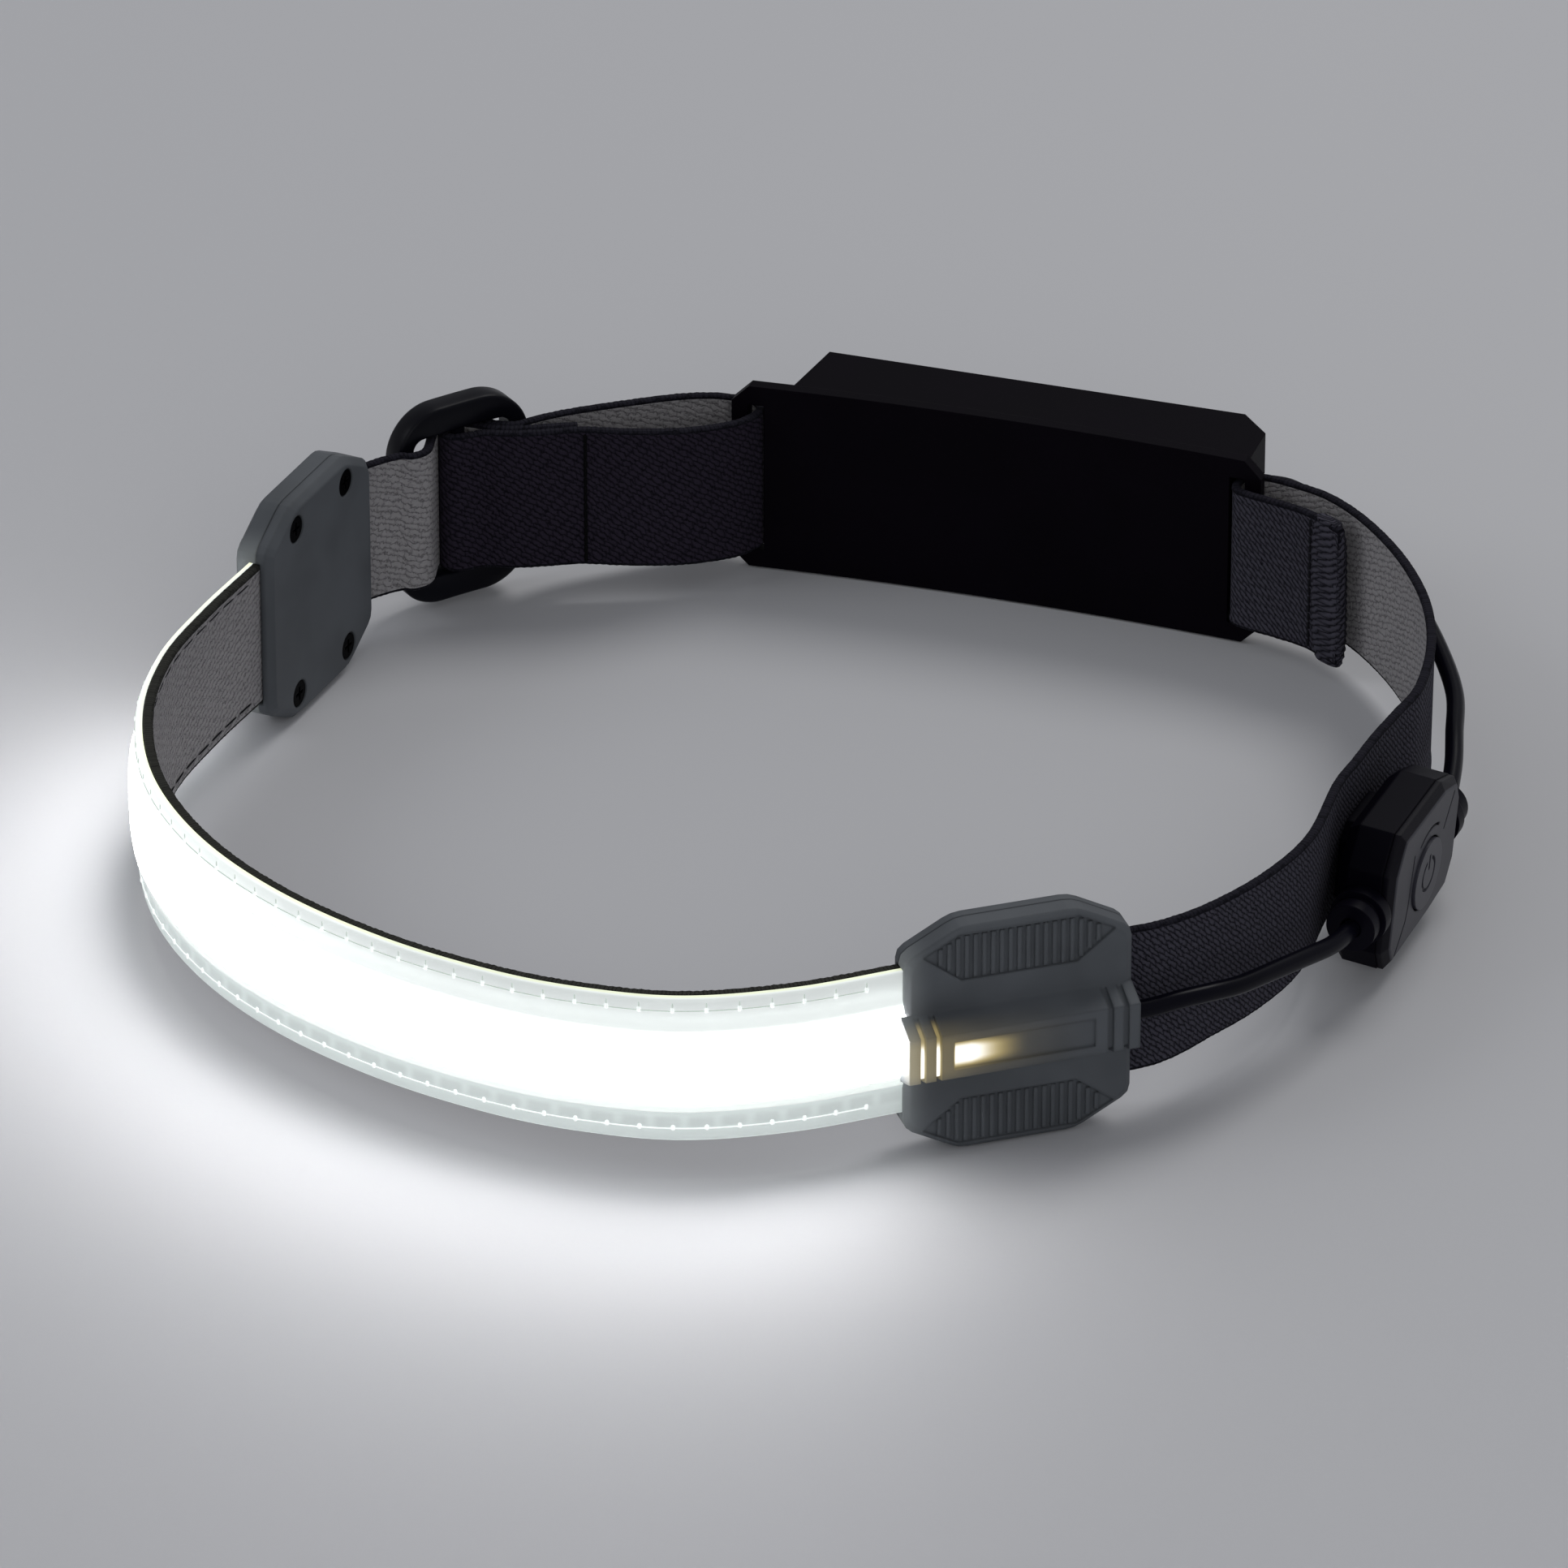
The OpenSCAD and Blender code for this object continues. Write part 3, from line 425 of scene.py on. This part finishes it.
def right_clamp(x, y, z=CLAMP_Z):
    return from_place(RIGHT_AT, RIGHT_TURN, x, y, z)


def left_clamp(x, y, z=CLAMP_Z):
    return from_place(LEFT_AT, LEFT_TURN, x, y, z)


def slider_spot(x, y, z=SLIDER_Z):
    return from_place(SLIDER_AT, SLIDER_TURN, x, y, z)


def switch_spot(x, y, z):
    return from_place(SWITCH_AT, SWITCH_TURN, x, y, z)


light_route = [
    left_clamp(10, 0), left_clamp(14.5, 0),
    (-79.6, -7, 15.5), (-80.2, -20, 15.5), (-77.6, -34, 15.5), (-70.7, -48.8, 15.5), (-60, -61.2, 15.5),
    (-46.6, -70.6, 15.5), (-31, -77.2, 15.5), (-16, -80.6, 15.5), (-4, -81.2, 15.5), (8, -79.4, 15.5),
    (20, -73.4, 15.5), right_clamp(-14.5, 0), right_clamp(-10, 0),
]
right_route = [
    right_clamp(10, 0), right_clamp(14.5, 0),
    (58, -44.6, 15.4), (62, -38.6, 15.3), (66.2, -29, 15.1), (68.6, -18, 14.9),
    switch_spot(-7, 2.2, 14.6), switch_spot(0, 2.2, 14.5), switch_spot(7, 2.2, 14.4), (70, 16.4, 14.3),
    (70.9, 24, 14.2), (69.4, 35.4, 14), (65.8, 46.2, 13.7), (60, 56.4, 13.5), (53, 65, 13.3),
    (46.5, 70.4, 13.2), (41, 72.6, 13.1), (37.6, 73.3, 13.1), (35.4, 73.2, 13.1), (34.1, 72.3, 13.1),
    (33.7, 70.6, 13.1), (34.2, 69, 13.1), (35.9, 68.2, 13.1), (40, 67.4, 13.0), (44.8, 66.2, 12.8),
    (49.6, 63.6, 12.4),
]
over_slider = [
    (-8.6, -3.1), (-6.2, -2.7), (-3.2, 0.8), (0, 3.3), (3, 2.1), (5.2, -1), (7.4, -2.7), (10.6, -2.8),
]
round_bar = [
    (14, -8.6), (11, -7.2), (8, -5.9), (5.2, -4.4), (2.6, -2.5), (0, -1.95), (-1.5, -1.4), (-2.05, 0),
    (-1.5, 1.4), (0, 1.95), (1.4, 1.5), (2.8, 0), (5.2, -2.8), (8, -4.4), (11, -5.7), (14, -7.1),
]
left_route = [left_clamp(-10, 0), left_clamp(-14.5, 0), (-72.9, 37.6, 15.4), (-70.6, 40.6, 15.2)]
left_route += [slider_spot(x, y) for x, y in over_slider]
left_route += [
    (-53.8, 60.2, 14.6), (-48, 65.3, 14.2), (-42.4, 69.8, 13.8), (-38.4, 72.3, 13.4), (-35.6, 73.2, 13.1),
    (-33.5, 73.2, 13.1), (-31.9, 72.3, 13.1), (-31.35, 70.7, 13.1), (-31.6, 69, 13.2), (-33, 66, 13.4),
    (-35.8, 62.8, 13.8), (-39.4, 59.9, 14.2), (-45, 57.4, 14.5),
]
last_before_bar = left_route[-1]
left_route += [slider_spot(x, y) for x, y in round_bar]
front_cable_route = [
    right_clamp(13, -2.75), right_clamp(17, -2.75),
    (60.8, -46.2, 15.7), (63.5, -42.9, 15.3), (66, -38.6, 14.4), (68.4, -32.6, 13.4),
    (70.8, -26, 12.2), (72.6, -20.6, 11.2), switch_spot(-18.2, -4.1, 10.72), switch_spot(-14.8, -4.1, 10.68),
]
rear_cable_route = [
    switch_spot(13.8, -4.1, 10.68), switch_spot(17.2, -4.1, 10.72),
    (75, 27, 11.4), (73.2, 34, 12.2), (70.7, 43, 12.8), (65.9, 52.2, 14), (59.9, 60.8, 15.6),
    (53, 68.3, 17.4), (45, 74.2, 19), (39.4, 77.2, 19.6), (36.4, 77.6, 19.6),
]


def upward(distance):
    return Vector((0, 0, distance))


def smooth(route, step, samples=24):
    """Evenly spaced points along a smooth curve through the route, centred like the CAD."""
    p = [Vector(q) + CENTRE for q in route]
    dense = []
    for i in range(len(p) - 1):
        a, b, c, d = p[max(i - 1, 0)], p[i], p[i + 1], p[min(i + 2, len(p) - 1)]
        for k in range(samples):
            t = k / samples
            bend = (2 * a - 5 * b + 4 * c - d) * t * t
            dense.append(0.5 * (2 * b + (c - a) * t + bend + (3 * b - a - 3 * c + d) * t ** 3))
    dense.append(p[-1])
    length = [0.0]
    for a, b in zip(dense, dense[1:]):
        length.append(length[-1] + (b - a).length)
    count = max(2, round(length[-1] / step))
    out, j = [], 0
    for k in range(count + 1):
        s = length[-1] * k / count
        while j < len(dense) - 2 and length[j + 1] < s:
            j += 1
        t = (s - length[j]) / max(1e-9, length[j + 1] - length[j])
        out.append(dense[j].lerp(dense[j + 1], t))
    return out


def sideways(h):
    """Level direction square to a heading; it points out of the loop where a path runs anticlockwise."""
    return Vector((h.y, -h.x, 0)).normalized()


def ways(path):
    """Heading and sideways direction at every point of a path."""
    out = []
    for i in range(len(path)):
        h = (path[min(i + 1, len(path) - 1)] - path[max(i - 1, 0)]).normalized()
        out.append((h, sideways(h)))
    return out


def runs_of(path):
    """Distance along the path at each of its points."""
    run = [0.0]
    for a, b in zip(path, path[1:]):
        run.append(run[-1] + (b - a).length)
    return run


# ---------------------------------------------------------------- mesh builders (millimetres in)
def finish_mesh(name, verts, faces, materials, face_material=None, uvs=None, sharp=40):
    mesh = bpy.data.meshes.new(name)
    mesh.from_pydata([tuple(Vector(v) * MM) for v in verts], [], faces)
    for m in materials:
        mesh.materials.append(m)
    if face_material is not None:
        mesh.polygons.foreach_set("material_index", face_material)
    if uvs is not None:
        layer = mesh.uv_layers.new(name="UVMap")
        for loop in mesh.loops:
            layer.data[loop.index].uv = uvs[loop.vertex_index]
    mesh.polygons.foreach_set("use_smooth", [True] * len(mesh.polygons))
    mesh.update()
    mesh.set_sharp_from_angle(angle=math.radians(sharp))
    piece = bpy.data.objects.new(name, mesh)
    bpy.context.scene.collection.objects.link(piece)
    return piece


def sweep(name, path, rings, materials, ring_material, uv_v, sharp, closed=False, start=0.0):
    """Skin over rings of equal length; UV u is the distance along the path in centimetres."""
    n = len(rings[0])
    verts = [q for ring in rings for q in ring]
    faces, index = [], []
    count = len(rings)
    for i in range(count if closed else count - 1):
        for j in range(n):
            a, b = i * n + j, i * n + (j + 1) % n
            c, d = ((i + 1) % count) * n + (j + 1) % n, ((i + 1) % count) * n + j
            faces.append((a, d, c, b))
            index.append(ring_material[j])
    if not closed:
        faces.append(tuple(range(n)))
        faces.append(tuple((count - 1) * n + j for j in reversed(range(n))))
        index += [ring_material[0]] * 2
    uvs = [((start + run) * CM_PER_MM, uv_v[j]) for run in runs_of(path) for j in range(n)]
    return finish_mesh(name, verts, faces, materials, index, uvs, sharp)


def band_profile():
    """Webbing section: flat knit between two slightly thicker selvedges. Each point starts a face strip."""
    h = HALF_BAND
    side = [(0.34, -h), (0.58, -h + 0.2), (0.62, -h + 0.5), (0.50, -h + 0.9)]
    side += [(0.50, h - 0.9), (0.62, h - 0.5), (0.58, h - 0.2), (0.34, h)]
    material = [2, 2, 0, 0, 0, 2, 2, 2, 2, 2, 1, 1, 1, 2, 2, 2]
    return side + [(-x, z) for x, z in reversed(side)], material


def ease(t):
    q = min(max(t, 0.0), 1.0)
    return q * q * (3 - 2 * q)


def lean_at(p):
    """Distance between the edges of the leaning right band, seen from above."""
    most, front_start, front_run, rear_end, rear_run = 1.6, -48, 12, 44, 30
    y = p.y - CENTRE.y
    return most * ease((y - front_start) / front_run) * ease((rear_end - y) / rear_run)


def band(name, path, looks, phase=0.0, part=None, leaning=False, thick_edge=0.0):
    """Webbing along a path, or part of it; looks are its sideways face, its other face and its selvedges."""
    loop_pitch, scallop, slow_rate = 0.95, 0.035, 2.3
    selvedge, tip, level_part = 1.2, 0.3, 0.3
    points, material = band_profile()
    first, last = part or (0, len(path) - 1)
    rings = []
    run = runs_of(path)
    for p, (_, o), s in zip(path, ways(path), run):
        wave = math.sin(2 * math.pi * (s + phase) / loop_pitch) + 0.5 * math.sin(s * slow_rate + phase)
        lean = lean_at(p) if leaning else 0.0
        ring = []
        for x, z in points:
            if x < 0 and z > HALF_BAND - selvedge:
                x -= thick_edge * (1 + 0.15 * wave)
            shift = x + lean * (z / BAND_W - level_part)
            edge = math.copysign(scallop, z) if abs(z) > HALF_BAND - tip else 0.0
            ring.append(p + o * shift + upward(z + edge * wave))
        rings.append(ring)
    path, rings = path[first:last + 1], rings[first:last + 1]
    uv_v = [z * CM_PER_MM for _, z in points]
    piece = sweep(name, path, rings, looks, material, uv_v, 35, start=run[first])
    return piece


def tube(name, path, radius, material, sides=20):
    rings = []
    side = None
    turns = [2 * math.pi * k / sides for k in range(sides)]
    for p, (h, _) in zip(path, ways(path)):
        side = (h.cross(upward(1)) if side is None else side - h * side.dot(h)).normalized()
        top = side.cross(h)
        rings.append([p + radius * (math.cos(a) * side + math.sin(a) * top) for a in turns])
    piece = sweep(name, path, rings, [material], [0] * sides, [k / sides for k in range(sides)], 60)
    return piece


def capsule(centre, along, up, length, width, height, segments=8):
    """Verts and faces of a rounded stitch lying along a direction."""
    side = along.cross(up).normalized()
    verts, faces = [], []
    tip = 0.05
    stations = [(-0.5, tip), (-0.44, 0.6), (-0.3, 0.95), (0.0, 1.0), (0.3, 0.95), (0.44, 0.6), (0.5, tip)]
    for t, k in stations:
        for j in range(segments):
            a = 2 * math.pi * j / segments
            verts.append(centre + along * (t * length) + side * (math.cos(a) * width * k / 2)
                         + up * (math.sin(a) * height * k / 2))
    for i in range(len(stations) - 1):
        for j in range(segments):
            a, b = i * segments + j, i * segments + (j + 1) % segments
            faces.append((a, b, b + segments, a + segments))
    faces.append(tuple(reversed(range(segments))))
    faces.append(tuple((len(stations) - 1) * segments + j for j in range(segments)))
    return verts, faces


def stitches(name, spots, material, length, width, height):
    """One mesh of rounded stitches of one length, width and height; each spot is (centre, along, up)."""
    verts, faces = [], []
    for centre, along, up in spots:
        v, f = capsule(centre, along, up, length, width, height)
        base = len(verts)
        verts += v
        faces += [tuple(base + q for q in face) for face in f]
    piece = finish_mesh(name, verts, faces, [material], sharp=80)
    return piece


def row(path, start, end, pitch, out, up):
    """Evenly spaced stitch spots along a path, offset sideways and up."""
    spots, run, due = [], 0.0, start
    for a, b in zip(path, path[1:]):
        step = (b - a).length
        while run + step >= due and due <= end:
            h = (b - a).normalized()
            o = sideways(h)
            spots.append((a.lerp(b, (due - run) / step) + o * out + upward(up), h, o))
            due += pitch
        run += step
    return spots


def offset_path(path, start, end, out, up):
    """Part of a path between two distances, moved sideways and up."""
    places = zip(path, ways(path), runs_of(path))
    return [p + o * out + upward(up) for p, (_, o), run in places if start <= run <= end]


def column(path, index, out, low, high, pitch):
    """Spots of a line of stitches across a band."""
    _, o = ways(path)[index]
    count = int((high - low) / pitch)
    return [(path[index] + o * out + upward(low + pitch * (i + 0.5)), upward(1), o) for i in range(count)]


# ---------------------------------------------------------------- light strip
light_path = smooth(light_route, BAND_STEP)
front_band = band("front_band_knit", light_path, [knit_out, knit_in, knit_edge_painted_light], thick_edge=0.12)
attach(front_band, "loop")
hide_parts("front_band")

SLEEVE_BACK, BAR_RISE, BAR_HALF = 0.65, 1.9, 5.2
low_edge = [(0, 0), (0.45, 0), (0.7, 0.3), (0.85, 0.8), (0.9, 2.6), (0.84, 2.9)]
top_edge = [(0.84, 2.9), (0.9, 2.6), (0.85, 0.8), (0.6, 0.3), (0.30, 0), (0, 0)]
bar_side = [(BAR_RISE - 0.9, 0.2), (BAR_RISE - 0.5, 0.6), (BAR_RISE - 0.18, 1.3), (BAR_RISE - 0.05, 2.6)]
bar_side = [(0.9, -0.9), (1.1, -0.5)] + bar_side
sleeve_points = [(SLEEVE_BACK + x, -HALF_BAND + z) for x, z in low_edge]
sleeve_points += [(SLEEVE_BACK + x, -BAR_HALF + z) for x, z in bar_side]
sleeve_points += [(SLEEVE_BACK + BAR_RISE, 0)]
sleeve_points += [(SLEEVE_BACK + x, BAR_HALF - z) for x, z in reversed(bar_side)]
sleeve_points += [(SLEEVE_BACK + x, HALF_BAND - z) for x, z in top_edge]
sleeve_material = [0] * 7 + [1] * 10 + [0] * 8
rings = []
for p, (_, o) in zip(light_path, ways(light_path)):
    rings.append([p + o * x + upward(z) for x, z in sleeve_points])
sleeve = sweep("sleeve_skin", light_path, rings, [sleeve_silicone(), lit_bar()], sleeve_material,
               [z * CM_PER_MM for _, z in sleeve_points], 50)
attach(sleeve, "loop")
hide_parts("light_sleeve")

SLEEVE_STITCH_PITCH = 3.9
SEAM_START = 9.0
seam_end = runs_of(light_path)[-1] - SEAM_START


def seam_row(out, up):
    return row(light_path, SEAM_START, seam_end, SLEEVE_STITCH_PITCH, out, up)


def upright(spots):
    return [(spot, upward(1), o) for spot, _, o in spots]


pieces = []
for name, up, material in (("seam_low", -8.1, pale_thread_painted_glow), ("seam_high", 8.3, soft_thread_painted_glow)):
    line = offset_path(light_path, SEAM_START, seam_end, out=1.56, up=up)
    pieces.append(tube("sleeve_" + name, line, 0.075, material, sides=6))
    spots = upright(seam_row(out=1.58, up=up + 0.12))
    pieces.append(stitches("sleeve_" + name + "_dots", spots, pale_thread_painted_glow, 0.75, 0.5, 0.4))
spots = upright(seam_row(out=1.55, up=8.85))
pieces.append(stitches("sleeve_seam_ticks", spots, soft_thread_painted_glow, 1.2, 0.2, 0.16))
for piece in pieces:
    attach(piece, "loop")
    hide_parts("sleeve_stitches")
# the same seams seen from inside the loop
spots = seam_row(out=-0.60, up=8.7) + seam_row(out=-0.60, up=-8.6)
seam_back = stitches("sleeve_seam_back", spots, dark_thread, 3.2, 0.24, 0.22)
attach(seam_back, "loop")

# ---------------------------------------------------------------- bands
right_path = smooth(right_route, BAND_STEP)
right_band = band("right_band_knit", right_path, [knit_out, knit_in, knit_edge], phase=0.3, leaning=True)
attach(right_band, "loop")
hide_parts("right_band")


def nearest(path, spot, after=0):
    """Index of the first closest point of a path to a route point, searched from an index on."""
    target = Vector(spot) + CENTRE
    best = min((path[i] - target).length for i in range(after, len(path)))
    return next(i for i in range(after, len(path)) if (path[i] - target).length < best + 0.05)


left_path = smooth(left_route, BAND_STEP)
onto_slider = nearest(left_path, slider_spot(*over_slider[0]))
off_slider = nearest(left_path, slider_spot(*over_slider[-1]))
fold_start = nearest(left_path, slider_spot(*round_bar[0]), nearest(left_path, last_before_bar))
left_looks = [knit_in, knit_left, knit_edge]
runs = {
    "left_band_to_slider": (0, onto_slider), "left_band_over_slider": (onto_slider, off_slider),
    "left_band_to_battery": (off_slider, fold_start), "left_band_fold": (fold_start, len(left_path) - 1),
}
for name, part in runs.items():
    piece = band(name, left_path, left_looks, phase=0.6, part=part)
    if name == "left_band_to_slider":
        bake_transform(piece)
    elif name == "left_band_to_battery":
        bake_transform(piece)
    else:
        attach(piece, "slider_body")
    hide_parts("left_band")

# the stitched line where the free end of the left band is sewn to the run in front of it
CROSS_STITCH_PITCH = 1.25
spots = column(left_path, fold_start, out=-0.60, low=-9.5, high=9.5, pitch=CROSS_STITCH_PITCH)
left_seam = stitches("left_band_seam", spots, crease_thread_painted_shade, 1.4, 0.5, 0.44)
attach(left_seam, "slider_body")


def from_end(path, distance):
    return len(path) - 1 - round(distance / BAND_STEP)


def hem(name, path, back_from_end, width, thickness):
    """A fold of webbing rolled over the end of a band."""
    levels, sides, squareness = 60, 14, 0.7
    below, height, lean_rate = 0.5, BAND_W + 0.7, 0.0175
    end_pinch, ripple, ripple_rate = 0.30, 0.04, 1.9
    index = from_end(path, back_from_end)
    start = path[index]
    h, o = ways(path)[index]
    rings = []
    for i in range(levels + 1):
        z = -HALF_BAND - below + height * i / levels
        lean = lean_rate * (HALF_BAND - z)
        pinch = 1.0 - end_pinch * (abs(2 * i / levels - 1) ** 6) + ripple * math.sin(i * ripple_rate)
        ring = []
        for j in range(sides):
            a = 2 * math.pi * j / sides
            x = math.copysign(abs(math.cos(a)) ** squareness, math.cos(a)) * width / 2 * pinch
            y = math.copysign(abs(math.sin(a)) ** squareness, math.sin(a)) * thickness / 2 * pinch
            ring.append(start + h * (x + width / 2 + lean) + o * y + upward(z))
        rings.append(ring)
    middle = [upward(0.3 * i) for i in range(levels + 1)]
    piece = sweep(name, middle, rings, [knit_out], [0] * sides, [j * 0.05 for j in range(sides)], 60)
    return piece


right_hem = hem("right_band_hem", right_path, back_from_end=4.8, width=5.4, thickness=2.2)
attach(right_hem, "loop")
spots = column(right_path, from_end(right_path, 5.1), out=0.60, low=-9.4, high=9.4, pitch=CROSS_STITCH_PITCH)
right_seam = stitches("right_band_seam", spots, dark_thread, 1.15, 0.42, 0.34)
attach(right_seam, "loop")


# ---------------------------------------------------------------- slider
def reach(width, height, corner, angle):
    """Distance from the middle to the edge of a rectangle with round corners, along an angle."""
    low, high = 0.0, width + height
    for _ in range(30):
        r = (low + high) / 2
        qx = abs(r * math.cos(angle)) - (width / 2 - corner)
        qz = abs(r * math.sin(angle)) - (height / 2 - corner)
        inside = math.hypot(max(qx, 0), max(qz, 0)) + min(max(qx, qz), 0) < corner
        low, high = (r, high) if inside else (low, r)
    return low


def slider_frame():
    """Bowed flat frame with softened edges, and its middle bar."""
    outer_size, inner_size = (20, 28.4, 6.8), (14.6, 20.8, 1.6)  # width, height, corner
    around, half, soft, bow_height = 180, 1.7, 0.42, 0.5
    bar_sides, bar_half, bar_steps, bar_radius = 16, 10.8, 36, 1.0
    turn = math.radians(SLIDER_TURN)
    across = Vector((math.cos(turn), math.sin(turn), 0))
    outward = sideways(across)
    middle = Vector((*SLIDER_AT, SLIDER_Z)) + CENTRE
    rings, middle_line = [], []
    for i in range(around):
        a = 2 * math.pi * i / around
        outer = reach(*outer_size, a)
        wall = outer - reach(*inner_size, a)
        depths = [0.0, soft * 0.3, soft, wall - soft, wall - soft * 0.3, wall]
        levels = [half - soft, half - soft * 0.3, half]
        levels += levels[::-1]
        ring = [(depth, -level) for depth, level in zip(depths, levels)]
        ring += [(depth, level) for depth, level in zip(depths[::-1], levels)]
        placed = []
        for depth, level in ring:
            r = outer - depth
            x, z = r * math.cos(a), r * math.sin(a)
            bow = bow_height * (1 - (x / (outer_size[0] / 2)) ** 2)
            placed.append(middle + across * x + outward * (level - bow) + upward(z))
        rings.append(placed)
        middle_line.append(placed[0])
    edges = len(rings[0])
    uv_v = [j / edges for j in range(edges)]
    looks = [slider_black]
    frame_piece = sweep("slider_frame", middle_line, rings, looks, [0] * edges, uv_v, 50, closed=True)
    bar_path = [middle + upward(bar_half * (2 * k / bar_steps - 1)) for k in range(bar_steps + 1)]
    turns = [2 * math.pi * j / bar_sides for j in range(bar_sides)]
    disc = [(across * math.cos(a) + outward * math.sin(a)) * bar_radius for a in turns]
    rings = [[p + offset for offset in disc] for p in bar_path]
    uv_v = [j / bar_sides for j in range(bar_sides)]
    bar_piece = sweep("slider_bar", bar_path, rings, looks, [0] * bar_sides, uv_v, 60)
    return frame_piece, bar_piece


for piece in slider_frame():
    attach(piece, "slider_body")
    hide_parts("slider")

# ---------------------------------------------------------------- cables
for name, route in (("front_cable", front_cable_route), ("rear_cable", rear_cable_route)):
    jacket = tube(name + "_jacket", smooth(route, CABLE_STEP), CABLE_RADIUS, cable_black)
    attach(jacket, "loop")
    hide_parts(name)

# ---------------------------------------------------------------- moulded parts keep their CAD shape
looks = {
    "right_clamp_shell": clamp_plastic("clamp_right_lit", RIGHT_AT, RIGHT_TURN, lit_end=-1),
    "left_clamp_shell": clamp_plastic("clamp_left_lit", LEFT_AT, LEFT_TURN, lit_end=1),
    "right_clamp_back": clamp_grey, "left_clamp_back": clamp_grey,
    "right_clamp_screws": screw_black, "left_clamp_screws": screw_black,
    "driver_board": board_green, "light_board": phosphor(), "slider": slider_black,
    "battery_tray": case_black, "battery_case": case_black, "battery_cell": cell_foil,
    "charge_board": board_green, "charge_socket": plated, "socket_cover": flap_black,
    "light_pipe": pipe_clear, "power_button": button_grey,
    "switch_case": pod_black, "switch_cover": pod_cover("pod_cover"), "switch_plate": pod_black,
    "switch_board": board_green, "tact_switch": plated, "near_gland": gland_black, "far_gland": gland_black,
}
for node, material in looks.items():
    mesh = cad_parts[node].data
    mesh.materials.clear()
    mesh.materials.append(material)

# ---------------------------------------------------------------- floor
FLOOR_Z = -0.3 * MM
n = Nodes("floor_paper")
where = n.place()
slow = n.noise(where, 2.2, 2.0)
fine = n.noise(where, 900.0, 3.0)
n.set(Base_Color=n.mix(slow, rgb(0.60, 0.605, 0.63), rgb(0.66, 0.66, 0.675)))
n.set(Roughness=0.62, Specular_IOR_Level=0.35, Normal=n.bump(fine, 0.05, 0.2 * MM))
bpy.ops.mesh.primitive_plane_add(size=8, location=(0, 1, FLOOR_Z))
floor = bpy.context.object
floor.name = "floor"
floor.data.materials.append(n.material)

bpy.context.view_layer.update()
